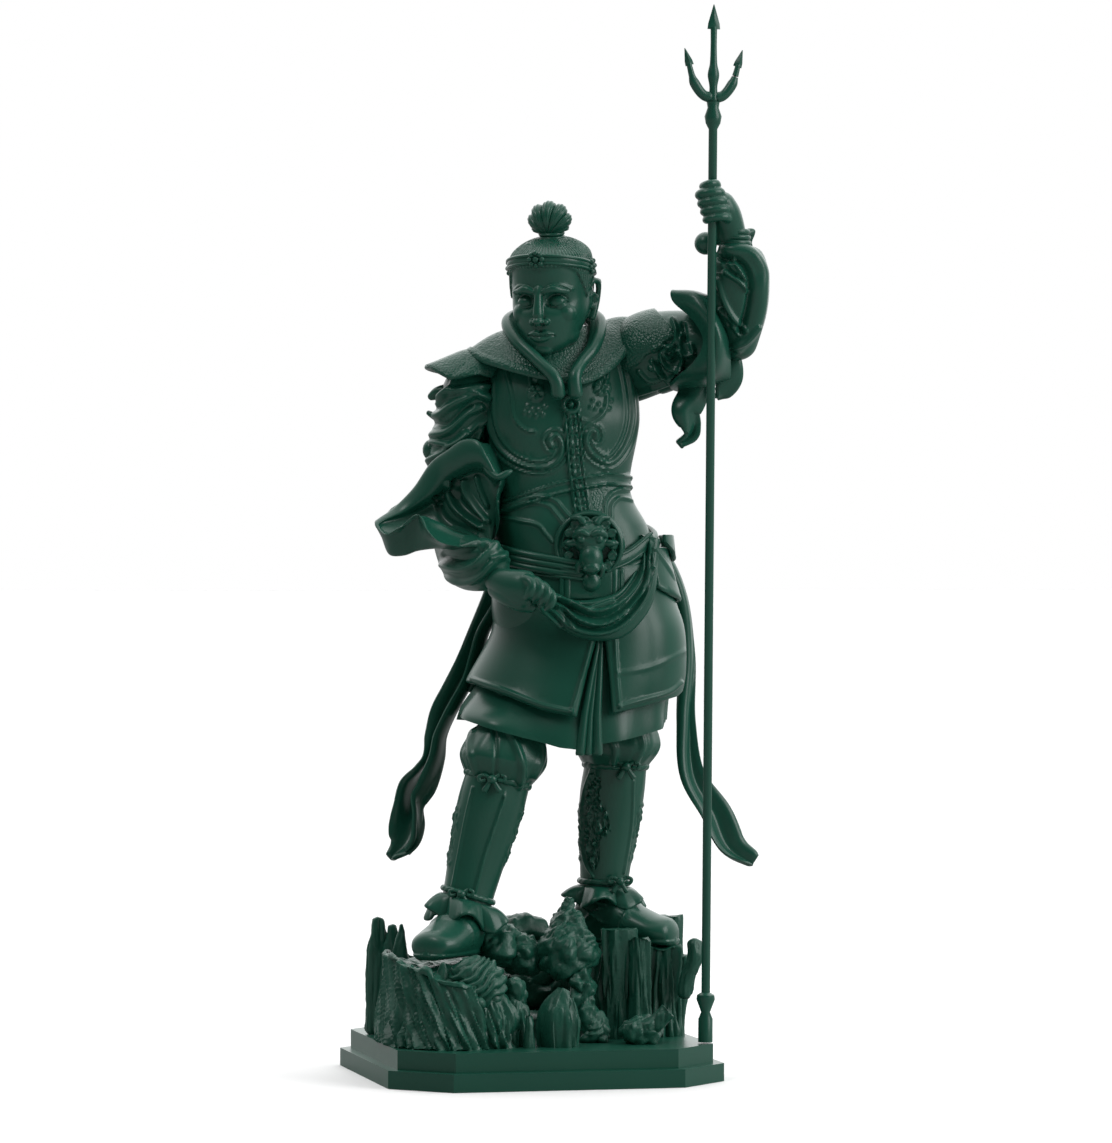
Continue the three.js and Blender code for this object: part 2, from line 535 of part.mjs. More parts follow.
function leftArm() {
  const upper = limb([at(18, 3, 160), at(27, 1, 161.2), at(34, -4, 162), at(42, -10, 162), at(46.6, -14, 161)],
    [[8.4, 9], [8.6, 9.4], [8.2, 8.4], [6.6, 6.6], [5.4, 5.4]],
    { sides: 8, steps: 4, side: AHEAD, shape: (angle, t) => 1 + 0.04 * Math.sin(4 * angle + 6 * t) });
  const guard = limb([at(22, 2.6, 162.6), at(28, 1, 163.4), at(32.2, -2.4, 163.8)],
    [[9, 9.4], [9.4, 9.9], [9, 9.6]], { sides: 8, steps: 2, side: AHEAD });
  const rimLoop = [[33.8, -4, 176.1], [32.4, -12, 171.8], [33.6, -17, 168.3], [35.2, -19, 164.7],
    [34.3, -18, 160], [32.6, -14, 156.6], [35.4, -8, 154], [42, 0, 154.8], [45.5, 6, 161.1],
    [47.1, 8, 168.4], [45.8, 5, 174.3], [39.5, 0, 175.4]].map((point) => at(...point));
  const ring = armRing(at(46.4, -13, 161.6), 5.6, UP, V(-0.4, -0.9, 0), rimLoop.length);
  const bellyLoop = ring.map((point, k) => point.clone().lerp(rimLoop[k], 0.55)
    .add(point.clone().sub(at(46.4, -13, 161.6)).multiplyScalar(0.35)));
  const sleeve = shell([ring, bellyLoop, rimLoop], 12, 2);
  const fore = limb([at(46.8, -14, 160.6), at(47, -16, 165), at(46.6, -18, 170.6), at(46.2, -19.4, 176.4),
    at(45.8, -20.4, 182), at(44.6, -21.6, 186.6), at(44.2, -22, 189.4)],
  [[3.6, 4], [4.8, 5], [6.3, 6.2], [7.1, 6.8], [6.8, 6.4], [4.9, 4.8], [4.3, 4.3]],
  { sides: 8, steps: 6, shape: (angle, t) => 1 + 0.05 * Math.sin(4 * angle + 8 * t) });
  const flap = ribbon([at(46, -13, 163), at(45.6, -14, 158), at(45, -14.5, 153.5), at(44.4, -14.6, 150.4)],
    [3.4, 4.8, 5.2, 3.4], () => ACROSS, { across: 1, steps: 3 });
  const tail = ribbon([at(37, -9, 157), at(36.6, -10, 152), at(36.2, -10, 147), at(37.4, -10, 143.6),
    at(34.6, -10, 140.4)], [8, 6.6, 7.6, 4.4, 1], () => V(1, 0.3, 0), { ripple: 0.9, waves: 1.2, steps: 6 });
  const knot = blob(at(40.4, -17, 188), [2.2, 2.4, 2]);
  // four fingers closed round the pole, each an arc about its line: [degrees, share of the reach]
  const reach = POLE_DIAMETER / 2 + FIT + SCALE;
  const right = ACROSS.clone().addScaledVector(POLE_WAY, -POLE_WAY.x).normalize();
  const front = POLE_WAY.clone().cross(right).negate();
  const arc = [[0, 1.6], [20, 1], [95, 1], [180, 1], [265, 1]];
  const fingers = [0, 1, 2, 3].map((k) => arc.map(([degrees, far]) => GRIP.clone()
    .addScaledVector(POLE_WAY, (4.1 - 2.8 * k) * SCALE)
    .addScaledVector(right, Math.cos(radians(degrees)) * reach * far)
    .addScaledVector(front, Math.sin(radians(degrees)) * reach * far)));
  const palm = [at(43.4, -21.8, 186.6), at(42.4, -22.2, 190.6), at(41.2, -23.2, 195), at(39.6, -24.2, 199.4)];
  const fist = hand(palm, [[3.4, 3.4], [2.9, 3.4], [3.2, 4], [2, 3.4]], V(1, 0, 0.4), fingers, 1.35);
  return join([upper, guard, sleeve, fore, flap, tail, knot, fist]);
}

// The hole that the pole passes through.
function poleWay() {
  const [radius, length] = [POLE_DIAMETER / 2 + FIT, 40 * SCALE];
  const hole = new THREE.CylinderGeometry(radius, radius, length, 8);
  hole.applyQuaternion(new THREE.Quaternion().setFromUnitVectors(AHEAD, POLE_WAY));
  hole.translate(...GRIP.toArray());
  return solid(hole);
}

const guardian = () => join([
  trunk(), breastplate(), cape(), scarf(), head(), underSkirt(), skirtPanels(), belt(), swag(), sashEnds(),
  ...STANCE.map(leg), rightArm(), leftArm(),
]).subtract(poleWay());

// Even, repeatable roughness for rock and bark.
const rough = (x, y, z) => Math.sin(0.9 * x + 1.7 * y) * Math.sin(1.3 * y - 0.8 * z + 1)
  + 0.6 * Math.sin(2.3 * x - 1.9 * z);

// A stem of dead wood that leans from foot to top, uneven round its section.
function log([foot, top, half, depth = half], { sides = 7, steps = 1, ridges = 0.12 } = {}) {
  const rings = Array.from({ length: steps + 1 }, (_, i) => {
    const t = i / steps;
    const flare = mix(1.1, 0.96, t);
    return oval(at(...foot).lerp(at(...top), t), at(half * flare, 0, 0), at(0, depth * flare, 0), sides,
      (angle) => 1 + ridges * rough(5 * angle, t * 3, foot[0]));
  });
  return skin(rings);
}

// A splinter that runs up to a blunt tip.
const spike = ([foot, top, half, depth = half * 0.7]) => skin([0, 0.6, 1].map((t) => oval(
  at(...foot).lerp(at(...top), t), at(half * mix(1, 0.2, t), 0, 0), at(0, depth * mix(1, 0.2, t), 0), 5)));

function rock([centre, halves]) {
  const geometry = new THREE.SphereGeometry(1, 6, 4);
  const position = geometry.getAttribute('position');
  for (let i = 0; i < position.count; i++) {
    const [x, y, z] = [position.getX(i), position.getY(i), position.getZ(i)];
    const reach = (1.08 + 0.12 * rough(3 * x + centre[0], 3 * y, 3 * z)) * SCALE;
    position.setXYZ(i, x * halves[0] * reach, y * halves[1] * reach, z * halves[2] * reach);
  }
  const middle = at(...centre);
  geometry.translate(middle.x, middle.y, middle.z);
  return solid(geometry);
}

// The hollow stump under the right foot: an uneven wall whose rim is low in front and high behind.
function stump() {
  const sides = 14;
  const section = (share, reach) => Array.from({ length: sides }, (_, j) => {
    const angle = (TURN * j) / sides;
    const [c, s] = [Math.cos(angle), Math.sin(angle)];
    const wide = reach * (1 + 0.05 * rough(6 * angle, share * 4, 1));
    const height = 17.6 + 2.6 * s + 0.8 * rough(9 * angle, 2, 0);
    return at(-19 + 18.6 * c * wide, -10.5 + 23.4 * s * wide, height * share);
  });
  return skin([section(0, 1), section(0.4, 1), section(1, 0.96)]);
}

function rockwork() {
  const mound = log([[2, 6, -4], [2, 6, 6], 33, 25], { sides: 12, ridges: 0.05 });
  // splinters: foot, tip, half width and half depth
  const spikes = [[[-34.4, 10, 0], [-34.8, 9.4, 29.4], 4.4], [[-31.6, 9, 10], [-31.4, 9, 27], 3.4],
    [[-31, -6, 12], [-32.4, -6.6, 27.4], 2.6], [[-28, -30, 10], [-28, -30.6, 19.6], 2.6],
    [[4, -8, 18], [6.8, -9, 32.6], 6.4, 6]].map(spike);
  // rocks: middle and half sizes
  const rocks = [[[-18.8, -27, 14.6], [6.4, 6, 6.2]], [[-6.8, -6, 20.6], [6.6, 7, 6]],
    [[0, 5, 13.6], [11, 8, 13.4]],
    [[6.6, -9, 21], [7.4, 7.6, 5.8]], [[-7.6, -18, 11.4], [2.6, 2.6, 2.6]], [[24.4, -18.4, 3.4], [5.4, 5, 3.6]],
    [[24, 22, 5], [11, 9, 7]], [[-8, 20, 8], [10, 9, 9]]].map(rock);
  // upright logs: foot, top, half width and half depth
  const logs = [[[18.2, -4.4, -1], [18.2, -6.6, 26.2], 3.6], [[28.4, -1, -1], [28, -2, 23.4], 3.4],
    [[22.6, 5, -1], [22.4, 6, 21.1], 9], [[33.4, 1, -1], [34.2, 1.6, 21.1], 4.4, 6],
    [[35, 7, -1], [35.4, 3, 28.3], 3.4, 4], [[12.4, -11, -1], [10.6, -10, 16], 3],
    [[0, -26.6, -1], [0.2, -28, 12.6], 4, 3], [[-1, -22, -2], [-1, -21.6, 3], 6, 8]].map((stem) => log(stem));
  const branch = limb([at(35.8, -1.6, 12.8), at(38.6, -2, 15.4), at(39.6, -2, 19.6), at(39, -2, 24)],
    [[1.6, 1.6], [1.9, 1.8], [1.8, 1.8], [1.4, 1.4]], { sides: 5, steps: 3, side: AHEAD });
  const floor = new THREE.BoxGeometry(PLINTH_WIDTH * 2, PLINTH_DEPTH * 2, PLINTH_WIDTH);
  floor.translate(0, 0, -PLINTH_WIDTH / 2);
  const footprints = STANCE.map(({ ankle, toe }) => shoe(ankle, toe, FIT));
  return join([mound, stump(), ...spikes, ...rocks, ...logs, branch])
    .subtract(solid(floor))
    .subtract(join(footprints));
}

// One tier of the plinth: a rectangle with its four corners cut off.
function tier(inset, height) {
  const [x, y] = [PLINTH_WIDTH / 2 - inset, PLINTH_DEPTH / 2 - inset];
  const cut = PLINTH_CHAMFER - inset * (2 - Math.SQRT2);
  const outline = [[-x + cut, -y], [x - cut, -y], [x, -y + cut], [x, y - cut], [x - cut, y], [-x + cut, y],
    [-x, y - cut], [-x, -y + cut]];
  const shape = new THREE.Shape(outline.map(([u, v]) => new THREE.Vector2(u, v)));
  return solid(new THREE.ExtrudeGeometry(shape, { depth: height, bevelEnabled: false }));
}

const plinth = () => tier(0, LOWER_TIER).add(tier(TIER_LEDGE, PLINTH_TOP));

// The trident stands along +Z here: a turned ferrule, the pole, a knob and three barbed tines.
function trident() {
  const [butt, pole] = [BUTT_DIAMETER / 2, POLE_DIAMETER / 2];
  // [radius, height above the foot] of the ferrule and [radius, depth below the fork] of the knob
  const ferrule = [[0, 0], [butt, 0], [butt, 5.4], [butt * 0.62, 7], [butt * 1.28, 10], [butt * 1.2, 11],
    [pole, 11.6]].map(([r, z]) => new THREE.Vector2(r, z * SCALE));
  const knob = [[pole, 6.4], [pole * 1.7, 5], [pole * 1.98, 3.4], [pole * 1.3, 1.4], [pole * 1.5, 0], [0, 0]]
    .map(([r, z]) => new THREE.Vector2(r, POLE_LENGTH - z * SCALE));
  const shaft = new THREE.LatheGeometry([...ferrule, ...knob], 8);
  shaft.rotateX(Math.PI / 2);
  const up = (x, z) => V(x * SCALE, 0, POLE_LENGTH + z * SCALE);
  const bar = (path, sizes) => skin(sizes.map(([half, depth], i) => {
    const way = path[Math.min(i + 1, path.length - 1)].clone().sub(path[Math.max(i - 1, 0)]).normalize();
    return oval(path[i], V(way.z, 0, -way.x).multiplyScalar(half * SCALE), V(0, depth * SCALE, 0), 5);
  }));
  const barb = (base, tip, half) => {
    const way = tip.clone().sub(base).normalize();
    const out = V(way.z, 0, -way.x);
    const back = base.clone().addScaledVector(way, -0.8 * SCALE);
    const shoulder = base.clone().lerp(tip, 0.1);
    return skin([[base, 0.5, 0.5], [back, half, 0.5], [shoulder, half * 0.9, 0.8], [tip, 0.1, 0.1]]
      .map(([centre, wide, deep]) => oval(
        centre, out.clone().multiplyScalar(wide * SCALE), V(0, deep * SCALE, 0), 4)));
  };
  const middle = bar([up(0, -0.6), up(0, 3.4), up(0, 6.4), up(0, 9), up(0, 13.4), up(0, 18.2)],
    [[1.3, 1.1], [0.95, 0.9], [1.4, 1.1], [0.9, 0.85], [0.75, 0.75], [0.8, 0.75]]);
  const tines = [-1, 1].flatMap((side) => [
    bar([up(0, 0.9), up(side * 2.4, 1.6), up(side * 4.6, 4.4), up(side * 5.2, 6), up(side * 6.1, 9.4)],
      [[1.4, 1.1], [1.2, 1.05], [1.2, 1], [0.8, 0.75], [0.6, 0.6]]),
    barb(up(side * 6, 9.2), up(side * 7, 12.4), 1.05)]);
  return join([solid(shaft), middle, ...tines, barb(up(0, 17.9), up(0, 22.9), 1.55)]);
}

function piece(name, made) {
  const mesh = made.getMesh();
  const geometry = new THREE.BufferGeometry();
  geometry.setAttribute('position', new THREE.BufferAttribute(new Float32Array(mesh.vertProperties), 3));
  geometry.setIndex(Array.from(mesh.triVerts));
  geometry.computeVertexNormals();
  const object = new THREE.Mesh(geometry, new THREE.MeshStandardMaterial(PLASTIC));
  object.name = name;
  return object;
}

const statue = new THREE.Group();
statue.position.z = PLINTH_TOP;
const spear = piece('trident', trident());
spear.position.copy(POLE_FOOT);
spear.quaternion.setFromUnitVectors(UP, POLE_WAY);
statue.add(piece('guardian', guardian()), piece('rockwork', rockwork()), spear);

const figure = new THREE.Group();
figure.add(piece('plinth', plinth()), statue);

export default figure;
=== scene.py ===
import itertools
import math
from collections import namedtuple

import bpy
import numpy as np
from mathutils import Matrix, Vector


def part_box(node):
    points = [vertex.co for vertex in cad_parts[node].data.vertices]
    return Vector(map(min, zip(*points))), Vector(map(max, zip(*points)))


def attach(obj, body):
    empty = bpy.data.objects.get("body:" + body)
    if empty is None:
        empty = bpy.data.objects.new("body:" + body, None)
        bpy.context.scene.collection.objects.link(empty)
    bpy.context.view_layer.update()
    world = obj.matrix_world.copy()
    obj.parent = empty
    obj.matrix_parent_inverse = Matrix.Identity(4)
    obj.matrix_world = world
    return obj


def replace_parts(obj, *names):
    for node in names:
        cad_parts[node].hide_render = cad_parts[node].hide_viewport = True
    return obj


# The visual model of a moulded plastic guardian figure on rocks, with a trident. Its forms are drawn in
# millimetres, with the height counted from the plinth's top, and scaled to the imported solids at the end.
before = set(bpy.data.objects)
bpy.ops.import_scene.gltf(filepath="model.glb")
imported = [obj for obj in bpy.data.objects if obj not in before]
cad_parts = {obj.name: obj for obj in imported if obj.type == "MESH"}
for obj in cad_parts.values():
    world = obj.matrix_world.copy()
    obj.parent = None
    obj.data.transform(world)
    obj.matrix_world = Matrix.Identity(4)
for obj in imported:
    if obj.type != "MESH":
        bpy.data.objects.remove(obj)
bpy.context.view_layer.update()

TURN = 2 * math.pi
MM = 0.001
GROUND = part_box("plinth")[1].z  # the plinth's top, in metres
DRAWN_TOP = 201.29  # height of the raised fist in the drawing
SCALE = (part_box("guardian")[1].z - GROUND) / (DRAWN_TOP * MM)
SHARP = math.radians(48)  # edges that bend more than this are drawn sharp
CLOTH = 1.3  # thickness of sleeves, panels and sash ends

UP = np.array([0.0, 0.0, 1.0])
ACROSS = np.array([1.0, 0.0, 0.0])
AHEAD = np.array([0.0, 1.0, 0.0])
VIEW_TURN = math.radians(13.26)  # how far the camera stands to the figure's right
VIEW = np.array([math.sin(VIEW_TURN), math.cos(VIEW_TURN), 0.0])
VIEW_RIGHT = np.array([math.cos(VIEW_TURN), -math.sin(VIEW_TURN), 0.0])

Form = namedtuple("Form", "points faces grain", defaults=(0,))
SMOOTH, PEBBLED = 0, 1  # a form's grain: its material slot
SIDES = (-1, 1)


# Numbers and curves

def mix(a, b, t):
    return a + (b - a) * t


def ease(t):
    t = np.clip(t, 0, 1)
    return t * t * (3 - 2 * t)


def unit(v):
    return v / np.maximum(np.linalg.norm(v, axis=-1, keepdims=True), 1e-9)


def shares(count):
    return np.linspace(0, 1, count)


def angles(count):
    return np.linspace(0, TURN, count, endpoint=False)


def spline(points, t, closed=False, even=False):
    """A smooth curve through the points. even spaces them alike, for sizes rather than places."""
    p = np.asarray(points, float)
    if closed:
        p = np.concatenate([p[-1:], p, p[:2]])
    else:
        p = np.concatenate([2 * p[:1] - p[1:2], p, 2 * p[-1:] - p[-2:-1]])
    place = np.clip(np.asarray(t) * (len(p) - 3), 0, len(p) - 3 - 1e-9)
    i = place.astype(int)
    w = (place - i).reshape(-1, *[1] * (p.ndim - 1))
    a, b, c, d = (p[i + k] for k in range(4))
    if even:
        near = mid = far = 1.0
    else:
        near, mid, far = (np.sqrt(np.maximum(np.linalg.norm(q, axis=-1, keepdims=True), 1e-4))
                          for q in (b - a, c - b, d - c))
    start = ((b - a) / near - (c - a) / (near + mid) + (c - b) / mid) * mid
    end = ((c - b) / mid - (d - b) / (mid + far) + (d - c) / far) * mid
    return b + w * (start + w * (3 * (c - b) - 2 * start - end + w * (2 * (b - c) + start + end)))


def noise(points, seed=0):
    """Smooth random values from -1 to 1, the same on every run."""
    cell = np.floor(points).astype(np.int64)
    share = ease(points - cell)
    total = 0
    for corner in itertools.product((0, 1), repeat=3):
        key = cell + corner
        code = (key[:, 0] * 73856093) ^ (key[:, 1] * 19349663) ^ (key[:, 2] * 83492791) ^ (seed * 7919)
        value = np.modf(np.abs(np.sin((code % 99991) * 12.9898)) * 4375.85453)[0]
        total = total + value * np.where(corner, share, 1 - share).prod(1)
    return 2 * total - 1


def fractal(points, octaves=3, seed=0):
    return sum(noise(points * 2.03 ** k, seed + k) * 0.5 ** k for k in range(octaves))


# Forms from points

def grid_faces(rows, columns, closed):
    i, j = np.meshgrid(np.arange(rows - 1), np.arange(columns if closed else columns - 1), indexing="ij")
    a, b = (i * columns + j).ravel(), (i * columns + (j + 1) % columns).ravel()
    return np.concatenate([np.stack([a, b, b + columns], 1), np.stack([a, b + columns, a + columns], 1)])


def outward(form):
    """The same form with its faces pointing out."""
    a, b, c = (form.points[form.faces[:, k]] for k in range(3))
    volume = (a * np.cross(b, c)).sum()
    return form if volume > 0 else form._replace(faces=form.faces[:, ::-1])


def tube(rings, grain=SMOOTH):
    """A closed skin over rings of points, with a fan at each end."""
    rows, columns = rings.shape[:2]
    points = np.concatenate([rings.reshape(-1, 3), rings[[0, -1]].mean(1)])
    ring = np.arange(columns)
    follow = (ring + 1) % columns
    last = (rows - 1) * columns
    hub = rows * columns
    first_cap = np.stack([np.full(columns, hub), follow, ring], 1)
    last_cap = np.stack([np.full(columns, hub + 1), last + ring, last + follow], 1)
    faces = np.concatenate([grid_faces(rows, columns, True), first_cap, last_cap])
    return outward(Form(points, faces, grain))


def sweep(middle, side, half, sides, shape=None, round_ends=True):
    """An oval section along a row of middles. half holds [half width along side, half depth] rows."""
    along = unit(np.gradient(middle, axis=0))
    a = unit(side - along * (along * side).sum(1, keepdims=True))
    b = np.cross(along, a)
    angle = angles(sides)[None, :]
    t = shares(len(middle))[:, None]
    reach = np.ones((len(middle), sides))
    if shape is not None:
        reach = reach * shape(angle, t)
    if round_ends:
        travel = np.concatenate([[0], np.cumsum(np.linalg.norm(np.diff(middle, axis=0), axis=1))])
        for run, radius in ((travel, half[0].min()), (travel[-1] - travel, half[-1].min())):
            back = np.clip(1 - run / max(radius, 1e-6), 0, 1)
            reach = reach * np.sqrt(1 - back ** 2 * 0.999)[:, None]
    wide = (half[:, :1] * np.cos(angle) * reach)[..., None]
    deep = (half[:, 1:] * np.sin(angle) * reach)[..., None]
    return tube(middle[:, None] + a[:, None] * wide + b[:, None] * deep)


def limb(path, sizes, sides=28, steps=60, side=ACROSS, shape=None, round_ends=True):
    """A rounded form along a path, with [half width along side, half depth] rows."""
    t = shares(steps + 1)
    side = np.asarray(side, float)
    return sweep(spline(path, t), side, spline(sizes, t, even=True), sides, shape, round_ends)


def grid_normals(rows, closed):
    down = np.gradient(rows, axis=0)
    if closed:
        over = np.roll(rows, -1, 1) - np.roll(rows, 1, 1)
    else:
        over = np.gradient(rows, axis=1)
    return unit(np.cross(down, over))


def edge_share(count):
    """1 inside a row of points and less at its two ends, for a rounded edge."""
    share = np.ones(count)
    share[[0, -1]] = 0.3
    share[[1, -2]] = 0.8
    return share


def slab(rows, thickness=CLOTH, closed=False, grain=SMOOTH):
    """A sheet with rounded edges, laid through rows of points."""
    count, across = rows.shape[:2]
    half = thickness / 2 * edge_share(count)[:, None]
    if not closed:
        half = half * edge_share(across)[None, :]
    offset = grid_normals(rows, closed) * np.broadcast_to(half, (count, across))[..., None]
    points = np.concatenate([(rows + offset).reshape(-1, 3), (rows - offset).reshape(-1, 3)])
    face = grid_faces(count, across, closed)
    index = np.arange(count * across).reshape(count, across)
    borders = [index[0], index[-1][::-1]]
    if not closed:
        borders += [index[::-1, 0], index[:, -1]]
    rims = []
    for line in borders:
        a, b = (line, np.roll(line, -1)) if closed else (line[:-1], line[1:])
        c, d = a + count * across, b + count * across
        rims += [np.stack([a, c, b], 1), np.stack([b, c, d], 1)]
    return outward(Form(points, np.concatenate([face, face[:, ::-1] + count * across, *rims]), grain))


def drape(loops, around, down):
    """Rows of points on a cloth that passes through the given loops of points."""
    rounds = np.stack([spline(loop, angles(around) / TURN, closed=True) for loop in loops])
    return spline(rounds, shares(down))


def ribbon(path, widths, side, ripple=0.0, waves=1.0, steps=90):
    """A strip of cloth along a path, spanning a width along side(t) and rippling across its face."""
    t = shares(steps + 1)
    middle = spline(path, t)
    along = unit(np.gradient(middle, axis=0))
    out = side(t)
    out = unit(out - along * (out * along).sum(1, keepdims=True))
    face = np.cross(along, out)
    width = spline(np.array(widths)[:, None], t, even=True)
    share = (shares(15) - 0.5)[None, :]
    rise = ripple * np.sin(TURN * waves * (share + t[:, None]))
    rows = middle[:, None] + out[:, None] * (share * width)[..., None] + face[:, None] * rise[..., None]
    return slab(rows)


def ball(centre, halves, axes=np.eye(3), sides=20):
    """An ellipsoid whose half sizes lie along the rows of axes."""
    lift = np.linspace(-math.pi / 2, math.pi / 2, sides // 2 + 2)[1:-1, None]
    turn = angles(sides)[None, :]
    local = np.stack([np.cos(lift) * np.cos(turn), np.cos(lift) * np.sin(turn), np.sin(lift) + 0 * turn], -1)
    return tube(np.asarray(centre, float) + (local * halves) @ axes)


def turned(profile, sides=40):
    """A solid of revolution about an upright line, from [radius, height] rows."""
    profile = np.asarray(profile, float)
    turn = angles(sides)
    return tube(np.stack([profile[:, :1] * np.cos(turn), profile[:, :1] * np.sin(turn),
                          np.repeat(profile[:, 1:], sides, 1)], -1))


def joined(forms):
    """One form out of many, with a grain for each face."""
    starts = np.cumsum([0] + [len(f.points) for f in forms])
    points = np.concatenate([f.points for f in forms])
    faces = np.concatenate([f.faces + start for f, start in zip(forms, starts)])
    grain = np.concatenate([np.broadcast_to(f.grain, len(f.faces)) for f in forms])
    return Form(points, faces, grain)


def form_normals(form):
    a, b, c = (form.points[form.faces[:, k]] for k in range(3))
    face = np.cross(b - a, c - a)
    total = np.zeros_like(form.points)
    for k in range(3):
        for axis in range(3):
            total[:, axis] += np.bincount(form.faces[:, k], face[:, axis], len(form.points))
    return unit(total)


def emboss(form, height):
    """Moves each point along its normal by height(points, normals)."""
    normals = form_normals(form)
    return form._replace(points=form.points + normals * height(form.points, normals)[:, None])


def bead(distance, half):
    """The height of a round bead of half width half, as a share of its full height."""
    return np.sqrt(np.clip(1 - (distance / half) ** 2, 0, 1))


def reach_from(places, line):
    """How far each two-number place is from a line of points."""
    line = np.asarray(line, float)
    best = np.full(len(places), 1e9)
    for a, b in zip(line[:-1], line[1:]):
        way = b - a
        t = np.clip(((places - a) @ way) / max(way @ way, 1e-9), 0, 1)
        best = np.minimum(best, np.linalg.norm(places - a - t[:, None] * way, axis=1))
    return best


def curve_line(points, count=60):
    return spline(points, shares(count))


def front_places(points):
    """Each point's place across the front view, and its height."""
    return np.stack([points @ VIEW_RIGHT, points[:, 2]], 1)


def seen(places, depth=0.0):
    """Points given by where they show in the front view, [across, height], and how far back they lie."""
    places = np.asarray(places, float)
    back = np.broadcast_to(np.asarray(depth, float), len(places))[:, None]
    return places[:, :1] * VIEW_RIGHT + back * VIEW + places[:, 1:] * UP


def from_front(rows):
    """Points from [across, height, depth] rows of the front view."""
    rows = np.asarray(rows, float)
    return seen(rows[:, :2], rows[:, 2])


def facing(normals, over=0.0):
    """1 where a surface faces the front view, running down to 0 at its outline or a little past it."""
    return ease((over - normals @ VIEW) / (0.35 + over))


def swell(distance, half):
    """The height of a soft fold of half width half, as a share of its full height."""
    return np.clip(1 - (distance / half) ** 2, 0, 1) ** 2


def carved(lines, over=0.0):
    """A height function with a ridge along each line: [height, half width, [[across, height], ...]]."""
    def height(points, normals):
        places = front_places(points)
        total = np.zeros(len(points))
        for rise, half, line in lines:
            total += rise * swell(reach_from(places, curve_line(line, 40)), half)
        return total * facing(normals, over=over)
    return height


def slack(deep, seed=1):
    """A height function for the soft folds of a sleeve where the front view doesn't show it."""
    def height(points, normals):
        bent = points @ np.array([[0.1, 0.03, 0.05], [0.03, 0.1, 0.05], [0.06, 0.04, 0.24]]).T
        return deep * fractal(bent * 1.2, 2, seed) * ease((normals @ VIEW - 0.1) / 0.5)
    return height


def inside(places, outline):
    """Whether each place lies within a closed outline."""
    x, z = places.T
    found = np.zeros(len(places), bool)
    for (x0, z0), (x1, z1) in zip(outline, np.roll(outline, -1, axis=0)):
        if z0 != z1:
            found ^= ((z0 > z) != (z1 > z)) & (x < x0 + (z - z0) * (x1 - x0) / (z1 - z0))
    return found


def patch(rise, outline):
    """A height function for a raised patch with a crisp edge."""
    outline = np.asarray(outline, float)

    def height(points, normals):
        places = front_places(points)
        far = reach_from(places, np.concatenate([outline, outline[:1]]))
        return rise * ease(np.where(inside(places, outline), far, -far) / 0.4 + 0.5)
    return height


def heights(*parts):
    """The sum of several height functions."""
    return lambda points, normals: sum(part(points, normals) for part in parts)


def grained(form, outline, back=False):
    """The form, pebbled where it shows within an outline in the front view. back takes in its far side."""
    corners = form.points[form.faces]
    front = np.cross(corners[:, 1] - corners[:, 0], corners[:, 2] - corners[:, 0]) @ VIEW < 0
    within = inside(front_places(corners.mean(1)), np.asarray(outline, float)) & (front | back)
    return form._replace(grain=np.where(within, PEBBLED, form.grain))


def hoop(centre, way, wide, deep, thick):
    """A ring round a limb that runs along way."""
    way = unit(np.asarray(way, float))
    a = unit(ACROSS - way * way[0])
    b = np.cross(way, a)
    turn = np.linspace(0, TURN, 91)[:, None]
    path = centre + wide * np.cos(turn) * a + deep * np.sin(turn) * b
    return sweep(path, way, np.full((len(path), 2), thick), 12, round_ends=False)


def front_limb(rows, sizes, sides=28, steps=60, side=ACROSS, shape=None, round_ends=True):
    """A limb along [across, height, depth] rows of the front view."""
    return limb(from_front(rows), sizes, sides, steps, side, shape, round_ends)


# Meshes in Blender

def mesh_object(name, form):
    mesh = bpy.data.meshes.new(name)
    mesh.vertices.add(len(form.points))
    mesh.vertices.foreach_set("co", np.ascontiguousarray(form.points, np.float32).ravel())
    mesh.loops.add(form.faces.size)
    mesh.loops.foreach_set("vertex_index", np.ascontiguousarray(form.faces, np.int32).ravel())
    mesh.polygons.add(len(form.faces))
    mesh.polygons.foreach_set("loop_start", np.arange(0, form.faces.size, 3, dtype=np.int32))
    mesh.polygons.foreach_set("material_index", np.broadcast_to(form.grain, len(form.faces)).astype(np.int32))
    mesh.update(calc_edges=True)
    made = bpy.data.objects.new(name, mesh)
    bpy.context.scene.collection.objects.link(made)
    return made


def baked(made):
    """The object's mesh with its modifiers applied, as a form. The object is removed."""
    bpy.context.view_layer.update()
    done = made.evaluated_get(bpy.context.evaluated_depsgraph_get()).to_mesh()
    done.calc_loop_triangles()
    points = np.empty(len(done.vertices) * 3, np.float32)
    done.vertices.foreach_get("co", points)
    faces = np.empty(len(done.loop_triangles) * 3, np.int32)
    done.loop_triangles.foreach_get("vertices", faces)
    form = Form(points.reshape(-1, 3).astype(float), faces.reshape(-1, 3))
    mesh = made.data
    bpy.data.objects.remove(made)
    bpy.data.meshes.remove(mesh)
    return form


def fused(forms, voxel, soften):
    """Forms that overlap, melted into one skin with small fillets where they meet."""
    made = mesh_object("melt", joined(forms))
    melt = made.modifiers.new("melt", "REMESH")
    melt.mode = "VOXEL"
    melt.voxel_size = voxel
    smooth = made.modifiers.new("soften", "SMOOTH")
    smooth.factor = 0.5
    smooth.iterations = soften
    return baked(made)


